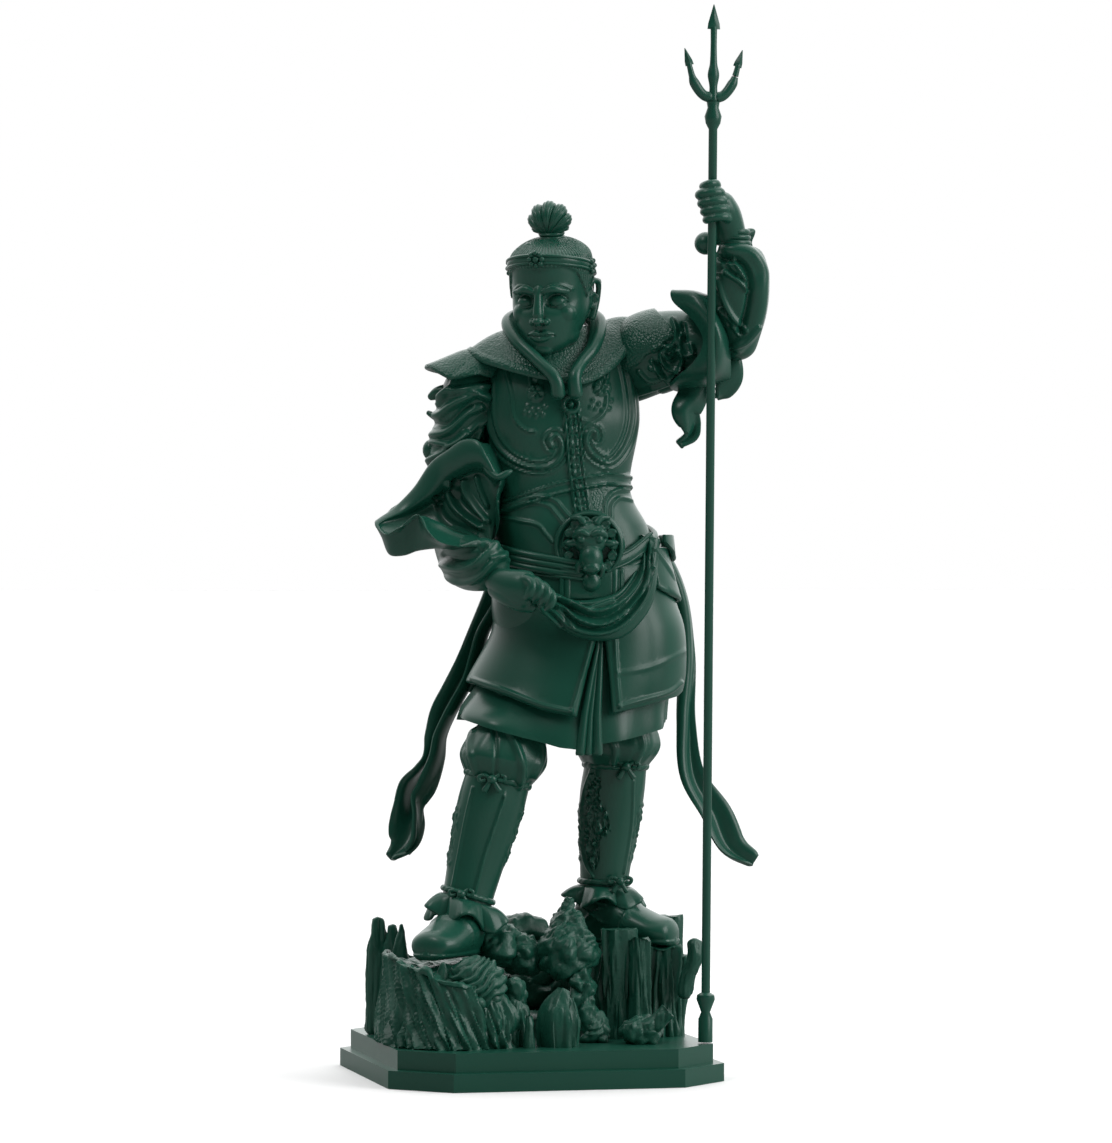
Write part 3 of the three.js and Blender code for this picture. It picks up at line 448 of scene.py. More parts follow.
def piece(name, forms, limit):
    """The finished object for one node: forms in millimetres, thinned to a number of triangles."""
    form = joined(forms)
    points = form.points * (MM * SCALE) + np.array([0, 0, GROUND])
    made = mesh_object(name, form._replace(points=points))
    if len(form.faces) > limit:
        thin = made.modifiers.new("thin", "DECIMATE")
        thin.ratio = limit / len(form.faces)
        bpy.context.view_layer.update()
        done = made.evaluated_get(bpy.context.evaluated_depsgraph_get())
        mesh = bpy.data.meshes.new_from_object(done)
        made.modifiers.clear()
        made.data = mesh
    made.data.polygons.foreach_set("use_smooth", np.ones(len(made.data.polygons), bool))
    made.data.set_sharp_from_angle(angle=SHARP)
    print(name, len(form.faces), "triangles made,", len(made.data.polygons), "kept")
    return made


# The trunk and its armour

TRUNK = [  # height, x, y, half width, half depth
    [90, 11, 1, 17.4, 13.4],
    [101, 12, 0.5, 20.5, 15],
    [113, 11.6, 0, 19.5, 14.8],
    [121, 10, 0, 18.4, 13.9],
    [130.5, 8.3, 0.6, 16, 12.4],
    [147, 8.3, 1.7, 18.6, 14],
    [160.5, 8, 2.4, 16.4, 11],
    [168, 7, 1.5, 8, 6.5],
]
SQUARED = 2.3  # the trunk's sections are ovals a little squared


def squared_oval(angle):
    return (np.abs(np.cos(angle)) ** SQUARED + np.abs(np.sin(angle)) ** SQUARED) ** (-1 / SQUARED)


def trunk_at(z):
    """The trunk's x, y, half width and half depth at a height."""
    fine = spline(TRUNK, shares(200), even=True)
    return [np.interp(z, fine[:, 0], fine[:, k]) for k in range(1, 5)]


def on_front(x, z):
    """A point on the front of the trunk."""
    cx, cy, half, depth = trunk_at(z)
    share = np.minimum(0.98, np.abs((x - cx) / half))
    return np.array([x, cy - depth * (1 - share ** SQUARED) ** (1 / SQUARED), z])


# Lines on the cuirass as seen from the front: [across, height]
CHEST_RIMS = [
    [[-10, 162], [-10, 155], [-9.6, 146], [-7.9, 141], [-4.4, 137], [0.3, 134.9], [4.5, 135], [7.2, 137.2],
     [7.7, 140.4], [6.2, 142.3], [4.8, 141.2], [5.3, 139.8]],
    [[21.9, 164], [24, 154], [24.5, 146], [22.4, 139.5], [19.1, 136], [15.8, 137], [13.5, 140.4], [14, 143.2],
     [15.6, 143.2], [15.8, 141.8]],
]
INNER_RIMS = [
    [[-5.4, 158], [-4, 151.7], [-3.2, 146], [-0.4, 143.4], [1.4, 143.2]],
    [[16.9, 159], [18.4, 152.4], [17.7, 148], [14.4, 145.5], [10.8, 146.6]],
]
MIDDLE_BAND = [[9.2, 151], [10, 147], [11.1, 134.1], [12.5, 124], [12.8, 121]]
BELLY_LINES = [
    [[-7, 125], [-0.1, 127.5], [2.2, 127.9], [4.3, 127.7], [6.5, 126.7], [7.6, 125.3], [10, 122.4]],
    [[-7.6, 124], [0.3, 126.4], [4.7, 125.6], [6, 124.2], [8.2, 121.4]],
    [[-7.6, 123.4], [-2.3, 122.2], [2.4, 121], [3.8, 119.3], [5.6, 117.2]],
    [[23.8, 129.6], [20.3, 129.2], [18.2, 127], [17.8, 123.6]],
    [[25, 127], [21.4, 127.6], [19.6, 125.8], [19.4, 122.4]],
]
WAIST = [[-14, 124], [-5.6, 127.2], [0.8, 129.6], [5.5, 130.8], [13.5, 132.1], [20, 131.7], [25, 129.6],
         [31, 128]]
PEBBLED_PATCH = [[14.6, 129.6], [17.6, 130], [20.6, 129.2], [18.4, 126.8], [18, 123], [15.2, 123.4]]
ROSETTES = [[1.7, 152.3], [17.2, 153.7]]
BEADS = ((-2.1, -3.2), (-0.7, -4), (0.8, -4), (2.2, -3.2), (0.1, -5.4), (-1.5, -5), (1.7, -5), (-2.6, -4.6))


def rosette(places, centre):
    """A flat flower with six petals on a round plate, and a fringe of beads below."""
    off = places - centre
    far = np.linalg.norm(off, axis=1)
    petals = 0.5 + 0.5 * np.cos(6 * np.arctan2(off[:, 1], off[:, 0]))
    height = 0.3 * ease((2.2 - far) / 0.3) + 0.5 * bead(far - 1.25, 0.8) * petals + 0.7 * bead(far, 0.5)
    for drop in BEADS:
        height += 0.4 * bead(np.linalg.norm(off - drop, axis=1), 0.5)
    for side in SIDES:  # the two cords that carry it, and an oval link between them
        height += 0.4 * bead(reach_from(off, [[side * 1.3, 2], [side * 1.8, 8.6]]), 0.4)
    link = np.abs(np.hypot(off[:, 0] / 0.7, (off[:, 1] - 4.4) / 1.1) - 1)
    return height + 0.45 * bead(link, 0.45)


def waist_band(points, back):
    """A flat band with raised edges that runs round the waist, level at the back."""
    x = points[:, 0] * VIEW_RIGHT[0] - 2.6
    middle = mix(np.interp(x, *zip(*WAIST)), 130.4, back)
    off = np.abs(points[:, 2] - middle)
    return 0.35 * ease((1.6 - off) / 0.3) + 0.4 * bead(off - 1.2, 0.4)


def back_relief(points):
    """The back plate: a double rim that follows its outline, and a seam down the middle."""
    x, z = np.abs(points[:, 0] - 8.3), points[:, 2]
    rim = curve_line([[0, 135], [6, 135.6], [11, 139], [13.4, 146], [12.8, 156], [11, 164]])
    far = reach_from(np.stack([x, z], 1), rim)
    height = 0.7 * bead(far, 0.7) + 0.35 * bead(far - 1.8, 0.4)
    return height + 0.4 * bead(x - 0.9, 0.4) * (z > 133)


def chest_relief(points, normals):
    places = front_places(points)
    height = np.zeros(len(points))
    for rim in CHEST_RIMS:
        far = reach_from(places, curve_line(rim))
        height += 0.75 * swell(far, 0.9) + 0.4 * swell(far - 1.5, 0.6)
    for rim in INNER_RIMS:
        height += 0.5 * swell(reach_from(places, curve_line(rim)), 0.7)
    for line in BELLY_LINES:
        height += 0.5 * swell(reach_from(places, curve_line(line)), 0.7)
    for centre in ROSETTES:
        height = np.maximum(height, rosette(places, np.array(centre)))
    far = reach_from(places, curve_line(MIDDLE_BAND))
    stitch = ease((np.abs(np.sin(places[:, 1] * math.pi / 1.7)) - 0.3) / 0.3)
    squares = ease((1.05 - far) / 0.25) * stitch * (1 - 0.8 * bead(far, 0.4))
    band = 0.35 * ease((2 - far) / 0.25) + 0.45 * bead(far - 1.6, 0.3) + 0.6 * squares
    height = np.where(far < 2.1, band, height)
    buckle = np.linalg.norm(places - [9.7, 149.4], axis=1)
    ring = 0.5 + 1.1 * bead(buckle - 1.75, 0.6) + 1.2 * bead(buckle, 0.75)
    height = np.where(buckle < 2.4, ring, height)
    back = ease((normals @ VIEW - 0.1) / 0.3)
    turned_back = ease((points[:, 1] + 4) / 9)
    return height * facing(normals) + back_relief(points) * back + waist_band(points, turned_back)


def trunk():
    rows = spline(TRUNK, shares(270), even=True)
    front, back = np.linspace(-200, 20, 236, endpoint=False), np.linspace(20, 160, 84, endpoint=False)
    turn = np.radians(np.concatenate([front, back]))[None, :]
    reach = squared_oval(turn)
    rings = np.stack([
        rows[:, 1:2] + rows[:, 3:4] * np.cos(turn) * reach,
        rows[:, 2:3] + rows[:, 4:5] * np.sin(turn) * reach,
        np.repeat(rows[:, :1], turn.size, 1)], -1)
    return grained(emboss(tube(rings), chest_relief), PEBBLED_PATCH)


# The cape's edge from the right shoulder's tip to the left one's: [share of the reach, height]
CAPE_HEM = [[-1, 162.6], [-0.9, 160.6], [-0.62, 158.2], [-0.3, 156.6], [0.2, 155.6], [0.6, 159],
            [0.88, 165.4], [1, 170.8]]


def cape():
    """The wide collar plate over both shoulders, pointed at the shoulder tips."""
    turn = angles(300)
    c, s = np.cos(turn), np.sin(turn)
    point = np.abs(c) ** 1.5  # 1 at the shoulder tips, 0 at front and back
    low = np.interp(c, *spline(CAPE_HEM, shares(200), even=True).T)
    edge = np.stack([6.2 + c * mix(17, 20.8, point), 1.5 + s * 14.8, low], 1)
    neck = np.stack([6.8 + c * 8.4, 1 + s * 8, np.full(len(turn), 168.5)], 1)
    out = unit((edge - neck) * [1, 1, 0.3])
    t = shares(70)
    rise = np.sin(t * math.pi) * 1.2 + 0.5 * ease((t - 0.93) / 0.02)
    top = [mix(neck, edge, share) + UP * up for share, up in zip(t, rise)]
    lip = [edge + UP * (0.5 - (CLOTH + 0.5) * (1 - math.cos(a)) / 2) + out * (0.5 * math.sin(a))
           for a in np.linspace(0, math.pi, 11)[1:]]
    under = [mix(edge, neck, share) - UP * CLOTH for share in shares(8)[1:]]
    return tube(np.stack(top + lip + under), PEBBLED)


def scarf():
    """The rolled scarf round the neck, ending in two tongues on the chest."""
    path = [[7.1, 150.6, -13.4], [6.3, 155.2, -14.4], [1.8, 160.2, -12.2], [-2.4, 164.6, -8.4],
            [-4.2, 169, -2], [0, 171.4, 6], [6.5, 172, 9.4], [12.6, 171.4, 6.5], [15.8, 169.6, 0.4],
            [16, 166, -5], [14.9, 162.6, -8.4], [12.4, 159.4, -11], [10.8, 156, -13.6], [11.1, 150.6, -13.2]]
    sizes = [[2.1, 1.8], [1.7, 1.6], [1.7, 1.5], [2, 1.7], [2.4, 2], [2.6, 2.1], [2.6, 2.2], [2.6, 2.1],
             [2.4, 2], [2.1, 1.8], [1.7, 1.6], [1.6, 1.5], [1.7, 1.6], [2.1, 1.8]]
    places = from_front(path)
    away = spline(places, shares(261)) - [6.6, 1.5, 0]  # from the neck

    def groove(a, t):
        notch = np.exp(-(np.angle(np.exp(1j * (a - 1.5))) / 0.35) ** 2)
        return 1 - 0.14 * notch * ease(8 * t) * ease(8 - 8 * t)
    rolled = limb(places, sizes, 60, 260, away * [1, 1, 0] + UP * 2, groove)
    inner = limb([[7.2, -13.4, 154.8], [11.4, -8.4, 160.2], [13.6, -3, 165.6], [11.6, 3, 168.6]],
                 [[0.7, 0.7]] * 4, 14, 60, UP)
    return [rolled, inner]


# Skirts, belt and sashes

SKIRT = [  # height, middle across the front view, half width, half depth
    [66, 7.6, 25.4, 20.6], [76, 8, 25.2, 20], [85, 11.2, 24.4, 18.4], [96, 14, 21.6, 16.6],
    [104, 12.8, 20.4, 15.8], [114, 11.4, 19.4, 15]]
SKIRT_DEPTH = 3.0  # how far back the skirts' middle lies
SKIRT_TOP = 112.0
UNDER_HEM = [[-17.4, 76.4], [-9.8, 74.4], [-0.8, 71.3], [7.3, 69], [12.5, 68.4], [17.6, 69.9], [22.1, 70.6],
             [27.5, 71.7], [31.9, 73.1], [33.4, 74.9]]
LEFT_HEM = [[-13.6, 83.8], [-5.3, 81.1], [3.2, 77.8], [11.1, 76.1]]
RIGHT_HEM = [[19.4, 77], [26.1, 78.4], [33.7, 80.7], [35.5, 82.5]]
PANEL_LINES = [
    [0.6, 0.55, [[-13.4, 84.9], [-5.3, 82.2], [3.2, 79], [10, 77.5]]],
    [0.5, 0.5, [[15, 95], [12.7, 86.5], [10, 77.5]]],
    [0.6, 0.55, [[21.2, 78.6], [26.1, 80], [33.3, 82], [36, 84]]],
    [0.5, 0.5, [[20.2, 95], [20.6, 86.5], [21.2, 78.6]]],
    [0.25, 0.7, [[21, 86.4], [27, 87.4], [31, 88.6], [37, 91.4]]],
]


def skirt_size(z):
    fine = spline(SKIRT, shares(120), even=True)
    return [np.interp(z, fine[:, 0], fine[:, k]) for k in (1, 2, 3)]


def on_skirt(angle, z, out):
    """A point of the skirts. angle 0 is nearest the camera and turns to the right of the front view."""
    middle, wide, deep = skirt_size(z)
    across = middle + (wide + out) * np.sin(angle)
    back = SKIRT_DEPTH - (deep + out) * np.cos(angle)
    return across[..., None] * VIEW_RIGHT + back[..., None] * VIEW + (z + 0 * across)[..., None] * UP


def skirt_front(places, out):
    """How far back the front of the skirts lies at places in the front view, with out added to its depth."""
    x, z = places.T
    return SKIRT_DEPTH - (skirt_size(z)[2] + out) * np.cos(skirt_angle(x, z))


def skirt_angle(across, z):
    """The angle at which the front of the skirts shows at a place across the view."""
    middle, wide, _ = skirt_size(z)
    return np.arcsin(np.clip((across - middle) / wide, -1, 1))


def under_skirt():
    turn = -angles(420)[None, :]
    t = shares(110)[:, None]
    hem = np.interp(7.6 + 25.4 * np.sin(turn), *np.array(UNDER_HEM).T)
    hem = np.where(np.cos(turn) < 0, 73 + 2 * np.sin(turn) ** 2, hem)
    z = mix(SKIRT_TOP, hem, t)
    fold = 0.35 * np.sin(11 * turn + 1) * ease((t - 0.5) / 0.5) + 1.5 * ease((t - 0.72) / 0.28)
    back = ease(-np.cos(turn) * 2) * 0.8 * np.sin(16 * turn) * ease((t - 0.4) / 0.5)
    from_knee = np.angle(np.exp(1j * (turn + 0.72)))  # which pushes the hem out
    knee = 4.4 * np.exp(-(from_knee / 0.4) ** 2) * ease((t - 0.8) / 0.18)
    return tube(on_skirt(turn, z, fold + (back + knee) - 1.9))


def skirt_panel(hem, start, end, out=0.6, top=SKIRT_TOP, lines=PANEL_LINES, thick=1.5, columns=170, rows=150):
    """A hanging panel between two sides, each an angle in degrees or an edge as [height, across] rows."""
    t, share = shares(rows)[:, None], shares(columns)[None, :]

    def edge(side, z):
        if np.isscalar(side):
            return np.full_like(z, math.radians(side))
        return skirt_angle(np.interp(z, *np.array(side).T), z)
    guess = mix(edge(start, np.full((1, 1), hem[0][1])), edge(end, np.full((1, 1), hem[-1][1])), share)
    middle, wide, _ = skirt_size(np.interp(share, [0, 1], [hem[0][1], hem[-1][1]]))
    low = np.interp(middle + wide * np.sin(guess), *np.array(hem).T)
    z = mix(top, low, t)
    angle = mix(edge(start, z), edge(end, z), share)
    bow = 0.5 * np.sin(math.pi * share) * t
    wider = [[rise, 1.5 * half, line] for rise, half, line in lines]
    return emboss(slab(on_skirt(angle, z, out + bow), thick), carved(wider))


def back_panel(start, end):
    """A side or back panel with a border, between two angles in degrees."""
    t, share = shares(110)[:, None], shares(110)[None, :]
    angle = np.radians(mix(start, end, share))
    z = mix(SKIRT_TOP, 82 - 2.5 * ease(-np.cos(angle)), t)
    near = np.minimum(np.minimum(share, 1 - share) * math.radians(abs(end - start)) * 22, (1 - t) * 31)
    border = 0.5 * bead(near - 1.5, 0.5) + 0.3 * bead(near - 2.6, 0.4)
    return slab(on_skirt(angle, z, 0.6 + border / 2), 1.5)


def front_flap():
    """The narrow pleated flap that hangs in the split between the front panels."""
    t, share = shares(130)[:, None], shares(60)[None, :]
    z = mix(104.0, 67.2, t)
    left = np.interp(z, [67, 76.7, 85.6, 92.4, 104], [11.1, 12.5, 14.3, 16, 16])
    right = np.interp(z, [67, 76, 85, 93.5, 104], [17.2, 16.8, 17, 17.2, 17.6])
    across = mix(left, right, share)
    pleats = 1.1 * swell(share - 0.16, 0.2) + 0.7 * swell(share - 0.48, 0.16) + 1.2 * swell(share - 0.86, 0.2)
    return slab(on_skirt(skirt_angle(across, z), z, pleats * ease(2 * t) - 0.9), 1.0)


def skirt():
    left_side = [[76, 11.1], [86.5, 13.6], [95, 16], [112, 17]]
    right_side = [[76, 19.4], [86, 18.7], [95, 17.7], [112, 17.4]]
    tasset = [[27, 107.4], [30.7, 105.3], [33, 103.7], [35, 101.8], [36.4, 99.8]]
    upper = [[27, 118], [29.9, 115.2], [31.9, 111.6], [34.6, 107.4]]
    flat = [[0.4, 0.5, [[28, 108.4], [33, 104.9], [36.4, 101.2]]],
            [0.4, 0.5, [[28, 118], [31.9, 112.8], [34.8, 108.6]]]]
    return [under_skirt(), front_flap(), skirt_panel(LEFT_HEM, -101, left_side),
            skirt_panel(RIGHT_HEM, right_side, 101),
            skirt_panel(tasset, 54, 112, 1.9, 116.0, flat, 1.2, 90, 60),
            skirt_panel(upper, 66, 118, 3.0, 119.0, flat, 1.2, 80, 40),
            back_panel(105, 179), back_panel(181, 255)]


def belt():
    """Three cords side by side round the hips, low in front."""
    turn = np.linspace(-math.pi - 0.04, math.pi + 0.04, 245)
    cords = []
    for k in range(3):
        z = 108.6 + 10 * np.abs(np.sin(turn / 2)) + 1.5 * np.sin(turn) + 1.5 * k
        cx, cy, half, depth = trunk_at(z)
        reach = squared_oval(turn - math.pi / 2)
        x = cx + (half + 0.9) * np.sin(turn) * reach
        y = cy - (depth + 0.9) * np.cos(turn) * reach
        path = np.stack([x, y, z], 1)
        cords.append(sweep(path, UP, np.full((len(path), 2), [0.85, 0.8]), 12))
    return cords


CURLS = (1.2, 5.2), (3.2, 4.4), (4.5, 2.6), (4.9, 0.2), (4.6, -2.2), (3.6, -4.4)  # the mane, on one side
BUCKLE = on_front(11, 116.2)
BUCKLE_AXES = 1.1 * np.stack([VIEW_RIGHT, UP, -VIEW])  # across, up and out of the disc, and its scale


def on_buckle(places):
    """Points given by [across, up, out] rows in the buckle's own axes."""
    return BUCKLE + np.array(places) @ BUCKLE_AXES


def knob(across, up, out, halves):
    return ball(on_buckle([across, up, out]), halves, BUCKLE_AXES)


def buckle():
    """A disc with a double rim and a beast's head with a curled mane."""
    profile = [[0.01, -2.4], [7.2, -2.4], [7.4, 0.9], [7.2, 1.4], [6.8, 1.5], [6.4, 1.1], [6.1, 0.7],
               [5.8, 1.1], [5.5, 1.1], [5.2, 0.6], [0.01, 0.6]]
    disc = turned(spline(profile, shares(60), even=True), 64)
    disc = disc._replace(points=on_buckle(disc.points))
    parts = [knob(0.3, 1.6, 1.4, [3.8, 3.8, 3.2]), knob(0.5, -2.6, 2.8, [2.6, 3.2, 2.6]),
             knob(0.6, -4.6, 3.8, [1.9, 1.6, 1.7]), knob(0.5, -7.6, 1.8, [2.1, 2.4, 1.7])]
    for side in SIDES:
        def strip(places, ends):
            return limb(on_buckle([[0.3 + side * x, z, out] for x, z, out in places]), ends, 12, 20)
        parts += [knob(0.3 + side * 1.9, 1.4, 4.1, [0.9, 0.8, 0.7]),
                  knob(0.5 + side * 1.2, -5, 4.7, [0.6, 0.5, 0.6]),
                  strip([(0, 2.2, 4.4), (2, 3, 4.4), (3.8, 1.8, 3.2)], [[0.6, 0.6], [0.9, 0.9], [0.4, 0.4]]),
                  strip([(1, 4.4, 3.2), (2.4, 6, 2.6), (4.4, 6, 2)], [[0.9, 0.9], [0.8, 0.8], [0.4, 0.4]]),
                  knob(0.3 + side * 4, 0.6, 2.4, [1.5, 0.8, 0.8]),
                  strip([(1.6, -3, 2.6), (2.6, -4.8, 2.4), (2.2, -7, 2)],
                        [[0.9, 0.9], [0.8, 0.8], [0.4, 0.4]])]
        for x, z in CURLS:
            curl = [[0.3 + side * (x + math.cos(a) * side * (1 - a / 9)), z + math.sin(a) * (1 - a / 9), 1.7]
                    for a in np.linspace(0, 5, 9)]
            parts += [limb(on_buckle(curl), [[0.45, 0.45], [0.4, 0.4]], 10, 30),
                      knob(0.3 + side * x, z, 1.1, [1.1, 1.1, 0.9])]
    return [disc, fused(parts, 0.2, 1)]


SWAG_TOP = [[2, 106], [6.1, 105.2], [10.3, 103.4], [15.7, 103.6], [20.8, 105.2], [24.2, 108.8],
            [25.8, 112.3], [26.6, 119]]
SWAG_FOLDS = [
    [[4, 105.4], [10.7, 102.3], [15, 100.9], [19.6, 101.9], [23.5, 105], [26.6, 110], [27.3, 118]],
    [[3, 104.6], [8, 101.9], [11.9, 99], [16.5, 97.8], [20.4, 99.2], [24.2, 102.6], [27.7, 107.7],
     [28.5, 117]],
    [[2.4, 103.8], [6.9, 99.9], [10.3, 97.2], [15, 95.9], [19.6, 96.5], [23.5, 99.2], [27.3, 104.2],
     [29.3, 110.8]],
    [[6.5, 104.4], [10.3, 103], [13, 101.8], [16, 102.2], [20, 103.4]],
    [[4.9, 103.4], [7.2, 101.1], [10.7, 97.8]], [[2.6, 102.4], [4.9, 99.9], [7.8, 97.6]],
]
SWAG_BOTTOM = [[0.8, 103], [2.8, 101.9], [4.9, 99.2], [8, 96.9], [11.9, 94.9], [16.5, 94.2], [21.5, 94.9],
               [25.8, 98], [29.3, 103.8], [30.4, 110.8], [30.8, 118]]


def swag():
    """The sash gathered in the right hand: folds that swing over the skirts up to the left hip."""
    t = shares(200)
    top, bottom = spline(SWAG_TOP, t), spline(SWAG_BOTTOM, t)
    middle, half = (top + bottom) / 2, (top - bottom) / 2
    deep = mix(skirt_front(middle, 2.2), -25.4, ease(1 - t / 0.3))  # it starts in the hand
    turn = angles(130)[None, :, None]
    flat = np.sign(np.cos(turn)) * np.abs(np.cos(turn)) ** 0.8
    places = middle[:, None] + 1.06 * half[:, None] * flat
    bulge = (1.2 + 1.5 * np.sin(math.pi * t) ** 0.5)[:, None, None] * np.sin(turn)
    rings = (places[..., :1] * VIEW_RIGHT + (deep[:, None, None] - bulge) * VIEW + places[..., 1:] * UP)
    ridges = [[1.1, 0.75, line] for line in SWAG_FOLDS]
    valleys = [[-0.75, 0.8, mix(curve_line(a, 20), curve_line(b, 20), 0.5)]
               for a, b in zip([SWAG_TOP] + SWAG_FOLDS[:2], SWAG_FOLDS[:3])]
    return [emboss(tube(rings), carved(ridges + valleys))]


STRAPS = [  # each strap's line from the front, and its half width
    ([[-4, 111.7], [4.9, 110.5], [13, 109.6]], 1.7),
    ([[18, 111.4], [23.6, 113.8], [27.4, 116.6], [29.2, 118.2]], 1.8),
]


def straps():
    """Flat banded straps that come from under the buckle on both sides, and the apron behind it."""
    bands = []
    ribs = lambda a, t: 1 + 0.05 * np.cos(4 * a)
    for line, wide in STRAPS:
        middle = spline(line, shares(60))
        path = seen(middle, skirt_front(middle, 1.4))
        bands.append(sweep(path, UP, np.full((60, 2), [wide, 0.9]), 28, ribs))
        for lift in (-0.9, 0, 0.9):
            cord = path + UP * lift * wide * 0.8 - VIEW * 0.8
            bands.append(sweep(cord, UP, np.full((60, 2), [0.35, 0.3]), 10))
    t, share = shares(40)[:, None], shares(60)[None, :]
    z = mix(111.0, 103.6 + 0 * share, t)
    across = mix(7.6, 21.6, share)
    line = 0.35 * (bead(share - 0.12, 0.03) + bead(share - 0.86, 0.03)) + 0.5 * (np.abs(share - 0.5) > 0.46)
    apron = slab(on_skirt(skirt_angle(across, z), z, 1.2 + line), 1.2)
    return bands + [apron]


def turning(start, end):
    """A way out across a ribbon that turns about the upright along it."""
    def side(t):
        angle = mix(start, end, t)
        return np.stack([np.cos(angle), np.sin(angle), 0 * angle], 1)
    return side


SASH_BEHIND = [  # across, height, depth, degrees turned away from the front view
    [-6.2, 112, 5, 50], [-8.4, 105.4, 8, 60], [-12.8, 94.8, 11, 64], [-15.3, 89.1, 12, 60],
    [-18.5, 82.9, 12, 52], [-21.3, 77.2, 11.4, 56], [-22.8, 71.4, 10.4, 72], [-24, 67.6, 9.4, 60],
    [-26, 63.4, 8.4, 40], [-28.4, 59, 7.4, 28], [-29, 53.3, 6, 8], [-29.2, 49.5, 4.6, 0],
    [-30, 45.2, 3, -10], [-33, 42.2, 1.6, -20]]
SASH_BEFORE = [[-3.6, 110, 4, 60], [-6.7, 103.4, 6.5, 70], [-11, 95.8, 8, 66], [-12.6, 90.1, 8.6, 66],
               [-14.3, 84.8, 8.8, 62], [-17.3, 79.1, 8.4, 58], [-19.1, 75.7, 8, 54], [-21.1, 71, 7.4, 46],
               [-21.9, 66.2, 6.4, 38], [-23.1, 62.4, 5.6, 32], [-24.7, 58.6, 4.8, 34],
               [-26.4, 55.8, 4.2, 62], [-26.7, 51, 3.6, 66], [-27, 46.8, 2.4, 60], [-29, 43.4, 1.4, 60]]


def twisted(rows, widths, ripple):
    """A sash end that turns about its own length."""
    rows = np.array(rows, float)
    path = from_front(rows[:, :3])
    steps = np.linalg.norm(np.diff(path, axis=0), axis=1)
    far = np.concatenate([[0], np.cumsum(steps)]) / steps.sum()
    turns = spline(np.stack([far, np.radians(rows[:, 3])], 1), shares(200), even=True).T

    def side(t):
        angle = np.interp(t, *turns)[:, None]
        return VIEW_RIGHT * np.cos(angle) + VIEW * np.sin(angle)
    return ribbon(path, widths, side, ripple, 0.8, steps=150)


def sash_ends():
    left = ribbon([[27.5, 8, 118], [34.5, 9.5, 113.5], [39.6, 10, 104], [41.6, 10, 90], [40.6, 8, 74.5],
                   [41.4, 6, 61], [46.6, 4, 52], [50.6, 3, 44.5], [56.2, 2, 40.8]],
                  [5, 5, 4.6, 4.6, 5, 7, 8.4, 7.5, 3], turning(0.1, 0.3), 1.1, 1)
    return [twisted(SASH_BEHIND, [5, 5.6, 6, 6, 6.4, 7, 7.6, 8.4, 8, 2.6], 0.9),
            twisted(SASH_BEFORE, [5, 5.6, 6, 6, 6, 6, 6, 5.4, 5, 2], 0.4), left]


# Legs and shoes

STANCE = [  # hip, knee, ankle and toe of the right leg, then of the left
    np.array([[2.5, 1, 92], [-7.8, -7, 66], [-16.6, -7, 33], [-29, -20.5, 20]]),
    np.array([[20.5, 3, 92], [21.8, 1, 67], [19.4, 4.6, 35], [33.8, -6, 21.4]]),
]
TILTS = [-1.8, -0.3]  # how far the rings round each leg sink toward the figure's left
TROUSERS = [[-0.42, 5, 5], [-0.32, 6.4, 6.2], [-0.2, 9, 8], [-0.07, 10.2, 9.2], [0.05, 8.2, 8.2],
            [0.08, 7, 7]]
GREAVE = [[0.02, 7.2, 7.2], [0.14, 7.5, 7.4], [0.36, 7.6, 7.6], [0.7, 6.5, 6.5], [0.94, 5.8, 5.7],
          [1.08, 5.6, 5.6]]
SHOE = [[-0.42, 3.2, 7], [-0.28, 4.6, 12], [0.1, 5.5, 14], [0.45, 6, 10], [0.75, 6.1, 7.4], [0.94, 4.9, 6.4],
        [1.04, 3, 5]]  # share of the way from ankle to toe, half width, height of the top above the sole
LEG_LINES = [
    [[0.55, 0.55, [[-5.7, 57.4], [-8.3, 50], [-10.6, 43], [-12.8, 34.6]]],
     [0.4, 0.5, [[-13.1, 59.6], [-14.7, 52.8], [-16.3, 44.6], [-18, 35.8]]],
     [0.9, 1.3, [[-4.6, 73], [-2.4, 68], [-1.4, 64], [-2.2, 59.8]]],
     [0.8, 1.2, [[2.6, 72], [3.2, 67], [1.2, 62]]], [0.7, 1.2, [[-13.4, 74], [-13.8, 68], [-12.4, 63]]],
     [-0.5, 0.8, [[-8, 73], [-7.6, 68], [-7.8, 63]]]],
    [[0.5, 0.5, [[14.9, 63.4], [12.9, 57], [12.6, 48], [13.4, 40.8], [15.2, 37.6]]],
     [0.35, 0.5, [[24.8, 60.5], [24.4, 50], [22.6, 38.4]]],
     [0.8, 1.2, [[19, 71], [20.4, 68], [20, 65]]], [0.8, 1.2, [[26.4, 72], [27, 69], [25.4, 65.4]]]],
]
FUR = [[14.8, 63], [13.6, 58], [13, 52], [13.2, 46], [14, 40.7], [15.4, 38.7], [16.6, 41.5], [16.8, 46.6],
       [19.3, 48.5], [18.7, 52.4], [16.8, 55.6], [17, 61.1]]
LACING = [[0.45, 0.4, line]
          for line in ([[12, 30.4], [17.4, 26.8]], [[12.2, 26.6], [16.8, 30.4]], [[12.4, 32.6], [18.4, 31]])]


